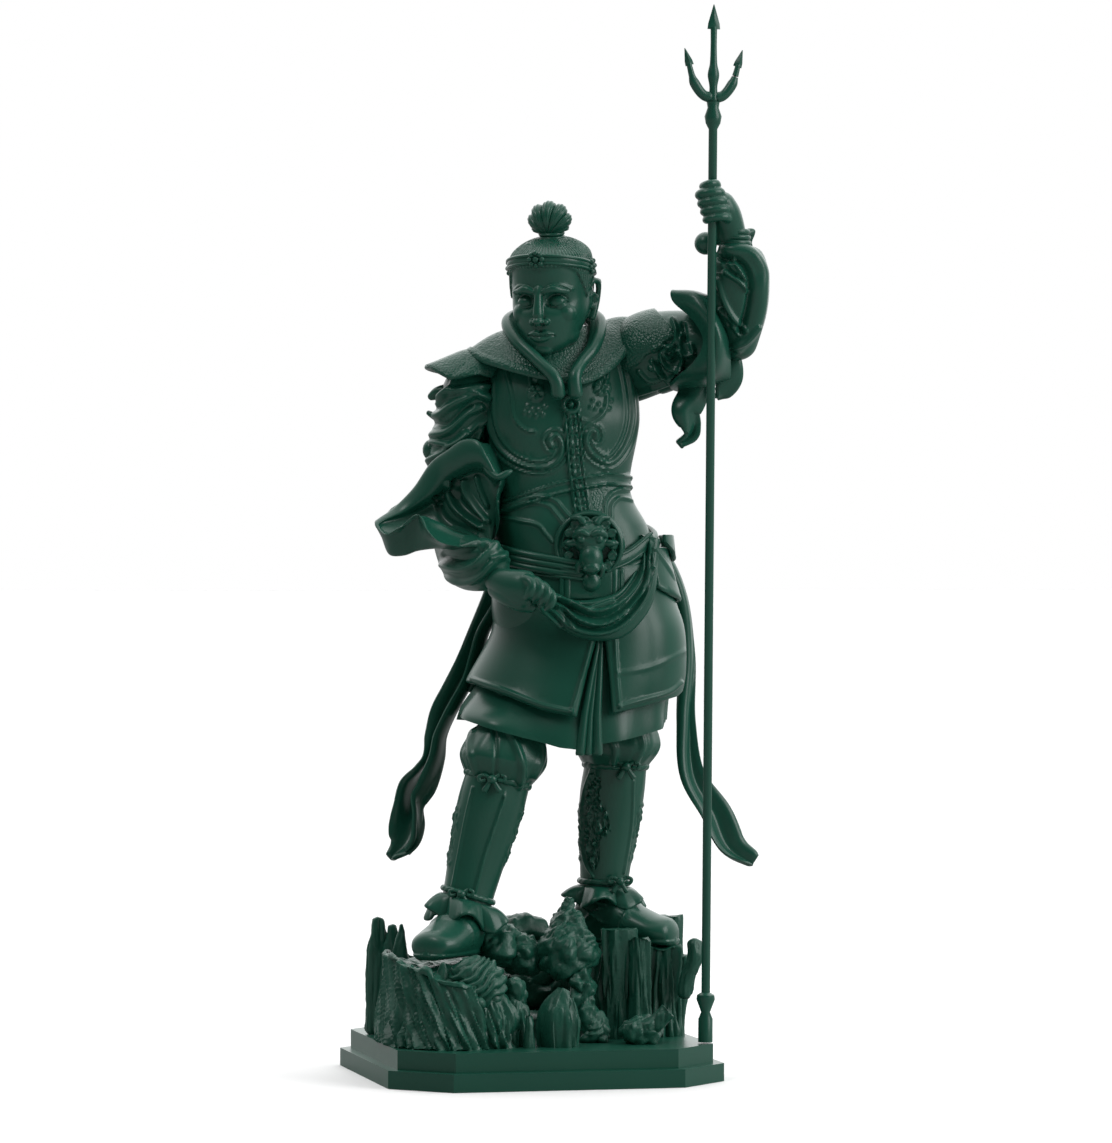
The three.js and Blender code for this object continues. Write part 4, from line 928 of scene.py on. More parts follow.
def leg_rings(knee, ankle, table, sides, steps, flute, tilt):
    """Rings down a leg. table holds [share from knee to ankle, half width, half depth] rows."""
    rows = spline(table, shares(steps), even=True)
    share = rows[:, :1]
    bend = 5 * np.maximum(0, share) * np.maximum(0, 1 - share)
    middle = knee + (ankle - knee) * share + AHEAD * bend
    turn = angles(sides)[None, :]
    reach = 1 + flute(turn, share)
    return np.stack([middle[:, :1] + rows[:, 1:2] * np.cos(turn) * reach,
                     middle[:, 1:2] + rows[:, 2:3] * np.sin(turn) * reach,
                     middle[:, 2:] + tilt * np.cos(turn)], -1)


def tie(knee, ankle, share, half, thick, tilt):
    """A twisted cord round a leg."""
    turn = np.linspace(0, TURN, 181)
    centre = mix(knee, ankle, share) + AHEAD * 5 * share * max(0, 1 - share)
    path = np.stack([centre[0] + half * np.cos(turn), centre[1] + half * np.sin(turn),
                     centre[2] + tilt * np.cos(turn)], 1)
    strands = lambda a, t: 1 + 0.22 * np.abs(np.sin(a + 60 * t))
    return sweep(path, UP, np.full((181, 2), [thick, thick * 0.85]), 16, strands, round_ends=False)


def knot(across, height, depth, size=1.0):
    """A small bow: a bead, two loops and two hanging ends."""
    parts = [ball(from_front([[across, height, depth]])[0], [1.2 * size, 1.1 * size, 1.1 * size], sides=18)]
    for side in SIDES:
        loop = [[across + side * size * u, height + size * v, depth + 0.1 + 0.12 * u]
                for u, v in ((0.4, 0.2), (1.8, 1), (3, 0.6), (2.8, -0.3), (1.2, -0.2))]
        end = [[across + side * size * u, height - size * v, depth]
               for u, v in ((0.2, 0), (1.1, 1.6), (2, 3))]
        parts += [front_limb(loop, [[0.5 * size, 0.45 * size]] * 2, 12, 30),
                  front_limb(end, [[0.45 * size, 0.4], [0.75 * size, 0.4]], 12, 20)]
    return parts


def ruffle(centre, half, drop, flare, tilt, spin):
    """A gathered cloth edge round an ankle: creased flaps that flare out and hang down in points."""
    turn = angles(260)
    t = shares(30)[:, None]
    place = (3 * turn + spin + 0.35 * np.sin(2 * turn)) / math.pi % 1
    point = 1 - np.abs(2 * place - 1)  # 0 between two flaps, 1 on the ridge of each
    crease = 1 - np.abs(2 * (2.5 * place % 1) - 1)
    reach = half + flare * t ** 0.6 * (0.25 + 0.75 * point ** 0.7) + 0.7 * t * (crease - 0.5)
    hang = drop * t ** 1.3 * (0.7 + 0.3 * np.sin(5 * turn + spin))
    z = centre[2] + tilt * np.cos(turn) + 0.5 * (1 - t) - hang
    rows = np.stack([centre[0] + reach * np.cos(turn), centre[1] + reach * np.sin(turn), z], -1)
    return slab(rows, 0.9, closed=True)


def shoe(ankle, toe):
    """A soft shoe with a blunt upturned toe and a flat sole."""
    way = (toe - ankle) * [1, 1, 0]
    ahead = unit(way)
    across = np.array([-ahead[1], ahead[0], 0])
    rows = spline(SHOE, shares(110), even=True)
    turn = angles(130)[None, :]
    up = np.where(np.sin(turn) < 0, np.maximum(-1, np.sin(turn) / 0.9), np.sin(turn))
    middle = ankle + rows[:, :1] * way
    middle[:, 2] = toe[2] + rows[:, 2] / 2
    ends = np.sqrt(np.clip(1 - (2 * np.abs(shares(110) - 0.5)) ** 14, 0.02, 1))[:, None]
    rings = (middle[:, None] + across * (np.cos(turn) * rows[:, 1:2] * ends)[..., None]
             + UP * (up * rows[:, 2:3] / 2 * ends)[..., None])

    def seams(points, normals):
        height = points[:, 2] - toe[2]
        ahead_share = (points - ankle) @ ahead / np.linalg.norm(way)
        instep = bead(ahead_share - 0.28 - 0.02 * height, 0.03) * (height > 3)
        return 0.4 * ease((1.6 - height) / 0.4) * (np.abs(normals[:, 2]) < 0.8) + 0.3 * instep
    return emboss(tube(rings), heights(seams, carved(LACING)))


def fur(points, normals):
    """The opening down the left greave, full of tufts, and tufts along the back edges of both."""
    tufts = np.abs(fractal(points * [0.9, 0.9, 0.55], 3, 4))
    within = inside(front_places(points), np.array(FUR)) & (normals @ VIEW < 0.3)
    z = points[:, 2]
    edges = ease((np.abs(normals @ VIEW_RIGHT) - 0.75) / 0.2) * ease((z - 40) / 2) * ease((56 - z) / 2)
    return np.where(within, 1.1 * tufts - 0.6, 0.5 * edges * tufts)


def leg(hip, knee, ankle, toe, tilt, sink, lines, drop, spin):
    folds = lambda a, s: 0.02 * np.sin(5 * a + 1) * ease((s + 0.5) / 0.3) + 0.012 * np.sin(12 * a + 6 * s)
    hung = np.array(TROUSERS) + [sink, 0, 0]
    trousers = tube(leg_rings(knee, ankle, hung, 170, 90, folds, tilt))
    greave = tube(leg_rings(knee, ankle, GREAVE, 190, 170, lambda a, s: 0 * a, tilt))
    over_knee = mix(knee, ankle, -0.12) + [3, 0.6, 0]
    thigh = limb([hip, mix(hip, knee, 0.5), over_knee], [[8, 8], [8, 8], [8.2, 8]], 60, 50)
    low = mix(knee, ankle, 1.02)
    cut = carved(lines, 0.25)
    return [emboss(thigh, cut), emboss(trousers, cut), emboss(greave, heights(cut, fur)), shoe(ankle, toe),
            tie(knee, ankle, 0.07 + sink, 7.2, 0.9, tilt), tie(knee, ankle, 0.965, 5.9, 0.62, tilt),
            ruffle(low, 5.5, drop, 5.2, tilt, spin)]


def legs():
    right, left = STANCE
    return [*leg(*right, TILTS[0], 0.07, LEG_LINES[0], 6, 0.75),
            *leg(*left, TILTS[1], 0.02, LEG_LINES[1], 4.4, 1.2),
            *knot(-8.6, 61.6, -16.6), *knot(-15.8, 34.8, -17, 0.9),
            *knot(23, 64, -1.6), *knot(21.6, 36.6, 1.6, 0.9)]


# The head

def turn_about(axis, degrees):
    return np.array(Matrix.Rotation(math.radians(degrees), 3, axis))


HEAD_TURN = turn_about("Z", -31) @ turn_about("X", 12)
HEAD_AXES = HEAD_TURN.T  # rows: the head's own right-to-left, back and up
HEAD_MIDDLE = np.array([4.7, -4.6, 176.1])


def on_head(points):
    """Places in the head's own frame, facing -Y, put on the figure."""
    return HEAD_MIDDLE + np.asarray(points, float) @ HEAD_AXES


def in_head(points):
    return (points - HEAD_MIDDLE) @ HEAD_AXES.T


SKULL = [  # y, height, half width, half depth, from the chin to the crown
    [-7.2, -13.2, 1.4, 1.4], [-6.4, -12.5, 4, 4.2], [-5, -10.6, 6.2, 6.5], [-3.4, -7.6, 7.7, 8.2],
    [-1.7, -4, 9, 9.9], [-0.6, 0, 9.3, 10.6], [0, 4, 9.4, 10.9], [0, 7, 9.3, 10.9], [0.1, 9.4, 8.8, 10.3],
    [0.4, 11.2, 6.9, 7.8], [0.5, 12.5, 4.2, 4.4], [0.5, 13.1, 1, 1],
]
# Lines of the face, drawn for one side: [out from the middle, height]
LID_CREASE = [[1.7, 0.2], [3.2, 1.1], [4.8, 1], [6, 0]]
EYE_SLIT = [[1.7, -1.1], [2.6, -1.6], [3.8, -1.8], [5, -1.5], [5.9, -0.8]]
EYEBROW = [[1.3, 2.2], [3.2, 3.3], [5.2, 3.2], [7, 2]]
HAIRLINE = [[0, 7.6], [36, 7.2], [54, 5.6], [66, 1.8], [74, -1], [80, 1.4], [88, 3.2], [104, 3.2], [114, -2],
            [126, -6.6], [180, -8.4]]  # [degrees round from the front, height]


def sockets(points, normals):
    local = in_head(points)
    x, z = np.abs(local[:, 0]), local[:, 2]
    hollow = np.exp(-((x - 3.8) / 2.5) ** 2 - ((z + 0.3) / 1.8) ** 2)
    return -1.9 * hollow * (local[:, 1] < 0)


def fine_lines(points, normals):
    """Lids, brows and mouth line, and combed hair with its hairline."""
    local = in_head(points)
    x, y, z = np.abs(local[:, 0]), local[:, 1], local[:, 2]
    places = np.stack([x, z], 1)
    lines = -0.34 * bead(reach_from(places, curve_line(EYE_SLIT, 30)), 0.3)
    lines -= 0.22 * bead(reach_from(places, curve_line(LID_CREASE, 30)), 0.26)
    lines += 0.3 * swell(reach_from(places, curve_line(EYEBROW, 30)), 0.62)
    lines -= 0.3 * bead(reach_from(places, [[0, -8.3], [2.6, -8.2], [3.3, -8.5]]), 0.24)
    lines -= 0.22 * bead(reach_from(places, [[0, -6.2], [0, -7.1]]), 0.4)
    lines -= 0.5 * bead(np.hypot(x - 0.95, z + 5.5), 0.5)
    front = lines * ease((-y - 4) / 2)
    around = np.degrees(np.arctan2(x, -y))
    grown = ease((z - np.interp(around, *zip(*HAIRLINE))) / 0.5)
    strand = np.abs(np.sin(np.radians(around) * 36))
    return front + grown * (0.3 + 0.26 * strand)


def head_ball(place, halves):
    return ball(on_head(place), halves, HEAD_AXES)


def head_limb(places, sizes, sides, steps, side=ACROSS):
    return limb(on_head(places), sizes, sides, steps, side)


def face():
    """A calm, even face of a general kind, with lowered lids, the ears, and the hair close to the skull."""
    rows = spline(SKULL, shares(130), even=True)
    turn = angles(150)[None, :]
    local = np.stack([rows[:, 2:3] * np.cos(turn), rows[:, :1] + rows[:, 3:4] * np.sin(turn),
                      np.repeat(rows[:, 1:2], 150, 1)], -1)
    across, up = HEAD_AXES[0], HEAD_AXES[2]
    parts = [
        emboss(tube(on_head(local)), sockets),
        head_limb([[0, -10.4, 3.4], [0, -11.2, 1.2], [0, -12.1, -1.6], [0, -12.8, -4.2]],
                  [[1.3, 0.8], [0.95, 1], [1.1, 1.1], [1.3, 1.2]], 24, 40, across),
        head_ball([0, -12.7, -4.7], [1.35, 1.35, 1.1]),
        head_limb([[-3.2, -10.7, -8.2], [-1.3, -11.7, -7.7], [0, -11.95, -7.9], [1.3, -11.7, -7.7],
                   [3.2, -10.7, -8.2]],
                  [[0.3, 0.4], [0.6, 0.6], [0.55, 0.6], [0.6, 0.6], [0.3, 0.4]], 16, 40, up),
        head_limb([[-2.7, -10.8, -8.6], [0, -11.9, -9], [2.7, -10.8, -8.6]],
                  [[0.3, 0.4], [0.75, 0.7], [0.3, 0.4]], 16, 40, up),
        head_ball([0, -10.2, -11.7], [2.5, 1.6, 1.5])]
    for side in SIDES:
        mirror = np.array([side, 1, 1])
        parts += [
            head_limb(mirror * [[0.8, -10.9, 1.6], [3.4, -10.7, 2.5], [6.8, -8.4, 1.4]],
                      [[0.6, 0.6], [0.8, 0.9], [0.5, 0.6]], 16, 30, up),
            head_ball(mirror * [3.75, -8.6, -0.7], [2.2, 1.9, 1.7]),
            head_ball(mirror * [1.65, -11.6, -5], [0.9, 1.15, 0.8]),
            head_ball(mirror * [4.5, -6.9, -3.6], [3.3, 3, 3]),
            head_ball(mirror * [4.4, -4.6, -8.6], [3, 4, 3.4]),
            head_limb(mirror * [[8.9, -0.6, 0.4], [9.8, 0.6, 2.6], [10.5, 2.6, 2], [10.3, 2.8, -1],
                                [9.6, 1.2, -4.4], [9.1, 0, -6.6]],
                      [[0.5, 0.5], [0.7, 0.7], [0.75, 0.75], [0.65, 0.65], [0.9, 0.8], [0.9, 0.7]], 14, 50),
            head_limb(mirror * [[9, -0.8, -1.2], [9.8, 1.2, -0.4], [9.8, 1.6, -2.6], [9, 0, -3.6]],
                      [[0.4, 0.4], [0.5, 0.5], [0.5, 0.5], [0.4, 0.4]], 12, 30),
            head_ball(mirror * [9, 1, -0.8], [0.6, 1.9, 3.2])]
    return emboss(fused(parts, 0.22, 2), fine_lines)


def head_ring(z, half, depth, thick, rise=0.0, centre=(0, 0.2), sides=140):
    """A level ring round the head, or one that rises to the front."""
    turn = np.linspace(0, TURN, sides + 1)
    path = on_head(np.stack([centre[0] + half * np.cos(turn), centre[1] + depth * np.sin(turn),
                             z - rise * np.sin(turn)], 1))
    return sweep(path, HEAD_AXES[2], np.full((len(path), 2), thick), 14, round_ends=False)


def head_rosette(degrees, size, petals):
    """A small flower on the diadem, with a bead in the middle."""
    angle = math.radians(degrees)
    axes = np.stack([[math.cos(angle), math.sin(angle), 0], [0, 0, 1],
                     [math.sin(angle), -math.cos(angle), 0]])
    axes = axes @ HEAD_AXES
    middle = on_head([10.3 * math.sin(angle), 0.2 - 11.5 * math.cos(angle), 6.2 + 3.6 * math.cos(angle)])
    spins = angles(petals)
    around = np.stack([np.cos(spins), np.sin(spins), 0 * spins], 1) * size @ axes
    return [ball(middle, [size * 0.55] * 3, axes, 16)] + [
        ball(middle + off, [size * 0.44] * 3, axes, 14) for off in around]


def diadem():
    band = head_ring(6.2, 9.8, 10.9, [1.0, 0.55], 3.6)
    rims = [head_ring(z, 10.1, 11.2, [0.4, 0.45], 3.6) for z in (5.3, 7.1)]
    return [band, *rims, *head_rosette(0, 1.5, 8), *head_rosette(88, 1.4, 6), *head_rosette(-88, 1.4, 6),
            *head_rosette(180, 1.5, 8)]


def bun():
    """The topknot: seven lobes of combed hair that fan out over the post."""
    lift = np.linspace(-math.pi / 2, math.pi / 2, 112)[1:-1, None]
    turn = angles(260)[None, :]
    a, b, c = np.sin(turn) * np.cos(lift), np.sin(lift) + 0 * turn, np.cos(turn) * np.cos(lift)
    local = np.stack([5.1 * a, 3.2 * b, 4.2 * c], -1)
    root = np.array([0, 0, -3.4])  # the lobes fan out from here
    fan = np.degrees(np.arctan2(local[..., 2] - root[2], local[..., 0]))
    lobe = np.abs(np.cos((fan - 90) / 27 * math.pi)) ** 0.6
    spread = ease(np.linalg.norm(local - root, axis=-1) / 5)
    reach = 1 + spread * (0.13 * (lobe - 0.55) + 0.012 * np.sin(np.radians(fan) * 56))
    local = root + (local - root) * reach[..., None] + [0.3, 0.4, 17.3]
    local[..., 2] = np.maximum(local[..., 2], 14 + 0.2 * np.abs(local[..., 0] - 0.3))
    post = on_head([[0.5, 0.5, 11.6], [0.5, 0.5, 13.4], [0.4, 0.5, 15]])
    combed = lambda angle, t: 1 + 0.04 * np.sin(14 * angle)
    ties = [head_ring(z, 2.7, 2.7, [0.45, 0.45], 0, (0.5, 0.5), 40) for z in (13.3, 14.2)]
    stem = limb(post, [[3, 3], [2.5, 2.5], [2.4, 2.4]], 60, 30, HEAD_AXES[0], combed)
    return [tube(on_head(local)), stem, *ties]


def neck():
    cords = lambda points, normals: 0.35 * swell(np.abs(np.abs(points[:, 0] - 6) - 2.6), 0.9)
    skin = limb([[6.8, 2, 158], [6, 0.5, 166], [5.2, -1.5, 173]], [[6.4, 6], [5.8, 5.6], [6, 6]], 60, 50)
    return emboss(skin, cords)


def head():
    return [face(), neck(), *diadem(), *bun()]


# The right arm, with the big turned-back sleeve, gathering the sash

# Each line below runs along a fold as seen from the front: [height, half width, [[across, height], ...]]
UPPER_FOLDS = [
    [1.1, 1.5, [[-25, 152.2], [-21.4, 151.8], [-18.7, 152.7], [-15.5, 153.1], [-10, 154]]],
    [1.2, 1.5, [[-25, 148.2], [-21.4, 147.3], [-18.7, 149.1], [-15.5, 150.9], [-12.4, 152.2],
                [-10.1, 151.8]]],
    [1.0, 1.4, [[-23.4, 142.7], [-19.6, 143.2], [-16.9, 145.5], [-14.6, 147.7], [-11.5, 149.1]]],
    [0.9, 1.2, [[-23, 141], [-18.7, 140.3], [-15.5, 142.1], [-12.4, 145.1], [-10.6, 147]]],
    [1.0, 1.3, [[-24.2, 136.5], [-20.5, 138.2], [-16.9, 141], [-15.1, 143]]],
    [1.0, 1.1, [[-12.4, 152.2], [-10.1, 150.9], [-9.7, 148.6], [-11, 145.5], [-12.4, 141.8]]],
    [0.8, 1.0, [[-17, 158], [-18.4, 154], [-21.6, 150]]],
    [-0.7, 1.2, [[-22.6, 145.4], [-19.4, 145.2], [-17, 147], [-14, 149.6]]],
]
SLEEVE_FOLDS = [
    [1.2, 1.3, [[-19.2, 130.6], [-19, 128.4], [-17.5, 125.2], [-14.4, 122.6], [-11, 120.6]]],
    [1.3, 1.2, [[-15.2, 131.4], [-14.8, 129.2], [-12.6, 125.6], [-10, 122]]],
    [1.0, 0.9, [[-12.2, 132.4], [-11.3, 129.4], [-9.8, 125.6]]],
    [-1.2, 1.5, [[-17.4, 131], [-16.8, 127.4], [-14.4, 124.4], [-11.6, 122]]],
    [-1.0, 1.6, [[-21.8, 127], [-20.6, 123.6], [-17.4, 121], [-13, 119.6]]],
]
FOREARM_FOLDS = [
    [1.0, 1.3, [[-20.6, 117], [-18.7, 116.1], [-15.5, 115.7], [-11.6, 116.8], [-8, 117.4]]],
    [1.1, 1.3, [[-20.4, 111.8], [-16.3, 110.8], [-12.4, 111.8], [-10.1, 114.3], [-7.9, 115.8]]],
    [1.0, 1.2, [[-20, 108.8], [-15.5, 107.7], [-11.6, 108.8], [-8.5, 112], [-5.4, 114.3]]],
    [0.6, 0.9, [[-10.9, 116], [-8.5, 116.2], [-6, 115.6], [-4.2, 114.2]]],
    [0.6, 0.9, [[-8.5, 113.3], [-6.4, 113.4], [-4.4, 112.8]]],
    [-0.8, 1.1, [[-20, 114], [-16, 113.2], [-12.4, 114], [-10, 115.6]]],
]
MOUTH = [  # the big sleeve's edge: [across, height, depth, how far it is turned back towards the heart]
    [-6.6, 132.6, -11.5, 0.06], [-7.8, 134, -11.6, 0.14], [-9.7, 137.6, -11, 0.22], [-12, 141, -10, 0.27],
    [-15.5, 141.2, -8, 0.28], [-19.2, 138.9, -5.4, 0.27], [-23.2, 136, -2, 0.27], [-27.4, 130, -1, 0.22],
    [-32, 125.3, -1.4, 0.14], [-36.4, 121.7, -5, 0.05], [-33.8, 119, -9, 0.03], [-30, 120.9, -12, 0.04],
    [-26.2, 123.6, -13.6, 0.07], [-24.4, 120.4, -15, 0.08], [-21, 117.2, -17.5, 0.07],
    [-15, 116, -18.6, 0.07], [-9, 117, -16.6, 0.08], [-6.9, 122, -13, 0.06], [-7.6, 127.6, -11.6, 0.04]]
BELLY = [  # the fullest loop behind that edge: [across, height, depth]
    [-5, 131.6, -3], [-5.6, 134, -3], [-7, 137.6, -3], [-9.4, 140, -4], [-15.6, 136.4, -5.6],
    [-19.6, 135.4, -2.6], [-24, 131.6, 3.2], [-26.2, 126.5, 6.4], [-29.6, 120.4, 5], [-33.2, 116.6, 0.4],
    [-32.6, 114, -5], [-29.4, 114, -6.8], [-26.6, 115, -8.6], [-24.2, 115.4, -10.4], [-20.4, 115.6, -12.2],
    [-15, 115, -12.4], [-10, 115.6, -11.4], [-7.4, 120.6, -8.6], [-6.8, 128, -5]]


def ring_points(centre, radius, a, b, count):
    turn = angles(count)[:, None]
    return np.array(centre) + radius * (np.cos(turn) * a + np.sin(turn) * b)


def big_sleeve():
    """Cloth that spreads from the upper arm, rolls over at its mouth and folds inward round the forearm."""
    rim, belly = from_front([row[:3] for row in MOUTH]), from_front(BELLY)
    lip = np.array([row[3] for row in MOUTH])[:, None]
    heart = seen([[-8.8, 116.8]], -12)
    full = VIEW * (0.4 + 4.4 * lip)
    ring = ring_points([-17.2, 8, 126], 6.2, ACROSS, -AHEAD, len(rim))
    loops = [ring, mix(ring, belly, 0.55), belly, mix(belly, rim, 0.6), rim + full * 0.3, rim - full * 0.5,
             mix(rim, heart, lip * 0.3) - full, mix(rim, heart, lip * 0.75) - full * 0.8,
             mix(rim, heart, lip) + full * 0.3, mix(rim, heart, lip + 0.04) + full * 1.6,
             mix(rim, heart, np.maximum(lip + 0.14, 0.3)) + VIEW * 2.6, mix(rim, heart, 0.62) + VIEW * 2.4,
             mix(rim, heart, 0.86) + VIEW * 0.8, mix(rim, heart, 0.98)]
    return emboss(tube(drape(loops, 250, 170)), heights(carved(SLEEVE_FOLDS), slack(1, 4)))


def right_hand():
    """The back of the hand, four fingers curled down over the sash, and the thumb below."""
    parts = [front_limb([[-10, 109.6, -15], [-6.8, 108.2, -20], [-3.4, 106.6, -23], [-0.4, 105.9, -24.6],
                         [1.8, 105.4, -25]],
                        [[2.6, 2.6], [3.2, 2.8], [4.3, 3], [4.5, 2.8], [3.7, 2.2]], 32, 60, UP)]
    for k, (across, height) in enumerate([[0.3, 108.5], [2.1, 108.2], [3.8, 107.2], [5.1, 105.8]]):
        thin = 1 - 0.06 * k
        parts.append(front_limb([[across - 4, height - 1.4, -24.2], [across - 0.6, height - 0.2, -26.2],
                                 [across + 0.6, height - 1.6, -27.5], [across, height - 3.4, -27.4],
                                 [across - 1.2, height - 4.6, -26]],
                                np.outer([1.2, 1.35, 1.15, 1.1, 0.8], [thin, thin]), 18, 50))
    parts.append(front_limb([[-8.4, 107, -17], [-4.8, 104.4, -22.2], [-1.2, 102.6, -23.6], [2, 102, -24]],
                            [[2.4, 2.4], [2.3, 2.2], [1.9, 1.9], [1.4, 1.4]], 24, 40))
    return fused(parts, 0.2, 3)


def right_arm():
    upper = limb([[-9, 3, 158], [-12.8, 4, 154], [-15, 5.5, 147], [-15.6, 7, 138], [-16.5, 8, 126]],
                 [[5, 5], [6.4, 7], [6.5, 7.2], [7, 7], [7.5, 6.4]], 150, 150)
    fore = front_limb([[-16.8, 128, 8], [-16.8, 119, 3.4], [-16, 114.4, -2], [-13.8, 112.4, -9],
                       [-10.8, 111.6, -14.6], [-7.6, 111, -18.2], [-5.9, 110.5, -20]],
                      [[6, 6], [6.6, 6.2], [6.9, 5.6], [6.6, 5.7], [6, 5.2], [5.2, 4.6], [5.4, 4.9]],
                      130, 110, UP)
    rows = spline([[-9.6, 2.2, 163, 0.4], [-10.5, 2.6, 161.4, 4.6], [-12, 3.1, 159.8, 6.4],
                   [-13.7, 3.7, 158.3, 7.7], [-15.4, 4.4, 157, 8.8]], shares(50), even=True)[:, None]
    angle = np.radians(mix(-110, 130, shares(80)))[None, :]
    reach = rows[..., 3]
    corner = np.clip(1 - np.abs(angle - 1.05) / 0.75, 0, 1)  # the plate's edge hangs in a point at the front
    x, y = rows[..., 0] - reach * np.cos(angle), rows[..., 1] - reach * np.sin(angle)
    z = rows[..., 2] + 0.18 * reach * np.cos(angle) - 2.4 * (reach / 8.8) ** 3 * corner
    guard = slab(np.stack([x, y, z], -1), CLOTH, grain=PEBBLED)
    tufts = [front_limb([[-18.4, 153.4, 1], [-21.6, 152.6, 1.4], [-24, 151.4, 2]],
                        [[1.8, 1.6], [1.7, 1.5], [0.7, 0.6]], 20, 30),
             front_limb([[-17.6, 147, 0], [-21.4, 146.8, 1], [-24.4, 148.2, 2]],
                        [[1.5, 1.3], [1.2, 1], [0.5, 0.5]], 20, 30)]
    hook = front_limb([[-10.6, 138, -9], [-9, 134.2, -11], [-7.2, 132.5, -12.4], [-5.2, 133.3, -12.6],
                       [-3.8, 134, -12.2]],
                      [[1.4, 1.2], [1.4, 1.2], [1, 0.9], [0.8, 0.7], [0.4, 0.4]], 16, 40)
    return [emboss(upper, heights(carved(UPPER_FOLDS, 0.5), slack(1.6))), guard, big_sleeve(), hook, *tufts,
            emboss(fore, carved(FOREARM_FOLDS, 0.15)), ball(seen([[-23.4, 139.2]], 4)[0], [2, 2, 2.5]),
            right_hand()]


# The left arm, raised, with the fist round the trident's pole

GUARD = [[10, 190], [29.4, 190], [29.7, 172.6], [32, 169.9], [34, 167.2], [34.3, 165.9], [32.7, 164.7],
         [30.9, 163.4], [27.7, 161.3], [26.1, 159.5], [22, 157.6], [10, 157]]
LINING = [
    [1.2, 0.85, [[34, 169.9], [34.9, 166.8], [34.5, 164.1], [32.7, 162.7], [31.3, 161.8], [31.8, 159.5],
                 [33.6, 158.2], [36, 158.4]]],
    [1.1, 0.75, [[29.1, 160], [30.9, 157.7], [32.7, 155.9], [34.9, 157.7], [36.3, 160], [35.4, 162.2],
                 [33, 163]]],
    [1.0, 0.7, [[29.6, 162.4], [31.8, 163.6], [33.6, 163.1], [34.2, 161.8], [33.2, 160.6], [32.2, 161.4]]],
    [1.0, 0.9, [[36.4, 166.4], [35.6, 163.8], [37, 161.4], [38.8, 161.8], [38.4, 163.6]]],
    [1.0, 0.9, [[25.4, 152.6], [30, 154], [36, 156.4], [40, 159.5]]],
    [0.9, 0.8, [[26.2, 157.6], [28.4, 155.6], [31, 156], [30.4, 158], [28.8, 158.4]]],
    [-0.9, 0.9, [[25, 151.4], [30, 152.8], [36.3, 155.2], [41, 157.8]]],
    [-1.0, 1.0, [[30, 159.4], [31.4, 158.6]]], [-1.2, 1.1, [[34, 160.2], [34.6, 161]]],
    [-1.0, 1.0, [[36.6, 168.6], [36.9, 165]]],
]
FLARE = [  # the edge of the flared sleeve: [across, height, depth]
    [33.4, 175.9, -8.6], [34, 174, -9], [37.6, 170.8, -10.8], [40, 167.8, -12], [41.2, 164.8, -12.4],
    [40.6, 162, -12], [38.8, 159.5, -11], [35.4, 156.6, -7], [33.4, 154.2, -1], [37, 153.6, 5],
    [41, 155.4, 10], [43, 161.1, 14], [43, 168.4, 14], [41, 172.6, 9], [38, 174.2, 2], [35.4, 175.3, -4]]
FLARE_BELLY = [
    [40, 174.9, -12.4], [40.8, 173, -14], [42.4, 170, -15.4], [43.8, 167, -16], [44.4, 164, -16],
    [44, 160.6, -15.4], [42.8, 157.6, -13.6], [41, 155.4, -9], [40.4, 154.4, -2], [42, 154.6, 5],
    [44.6, 157, 10], [46.4, 161.5, 13], [46.6, 168, 13], [45.6, 172.4, 8], [44, 174.6, 1], [42, 175, -6]]
FORE_FOLDS = [
    [1.3, 2.0, [[46, 186], [51.6, 185.2], [54.6, 181.4], [54.8, 177], [54.2, 171.4], [52.6, 166.8],
                [49.4, 163.2]]],
    [-1.6, 1.3, [[44.9, 184], [49.8, 182.6], [51.8, 179.4], [51.9, 175.8], [51.2, 171.3], [49.8, 167]]],
    [0.9, 0.8, [[48, 183.5], [49.4, 180.8], [50.8, 178.5]]],
    [0.9, 0.9, [[46, 180.4], [49.4, 178.1], [51.5, 175.8]]],
    [1.0, 1.0, [[44.4, 178.5], [45.8, 174], [48, 169.9], [50.6, 167.2]]],
    [0.8, 0.8, [[44.9, 171.7], [47.1, 169], [49.4, 166.2]]],
    [-0.8, 0.9, [[44, 175.5], [45.4, 171.8], [47.4, 168.4]]],
    [-0.7, 0.8, [[45.6, 183], [47, 180.8], [48.6, 179.6]]],
    [0.7, 0.9, [[53.4, 168], [50.6, 164.6], [47, 163.2]]],
]


FINGERS = [  # and the thumb, round the pole: height, start and far side across the view, thickness
    [200.7, 43.4, 40.9, 1.02], [198.7, 44.3, 40, 1.12], [196.7, 45, 40.5, 1.08], [194.8, 45.6, 41.1, 1.02],
    [192.9, 46, 41.6, 0.95]]


def fist():
    """The back of the hand, and five bars of fingers and thumb wrapped round the pole."""
    parts = [front_limb([[47.9, 186.8, -9], [47.1, 190.6, -11], [45.9, 195, -13.4], [44.7, 199.2, -15.2]],
                        [[3.6, 3.3], [3.8, 3.4], [3.5, 3.9], [1.9, 3]], 36, 60, [1, 0, 0.4])]
    for height, start, left, half in FINGERS:
        path = [[start + 0.6, height - 0.2, -14.6], [start + 0.2, height + 0.2, -17.2],
                [mix(start, left, 0.45), height + 0.15, -18.3], [left + 0.7, height - 0.15, -17.5],
                [left, height - 0.3, -15.7], [left + 0.9, height - 0.3, -13.8]]
        parts.append(front_limb(path, np.outer([1.25, 1.12, 0.98, 1.12, 1, 0.8], [half, half]), 20, 70))
    return fused(parts, 0.18, 1)


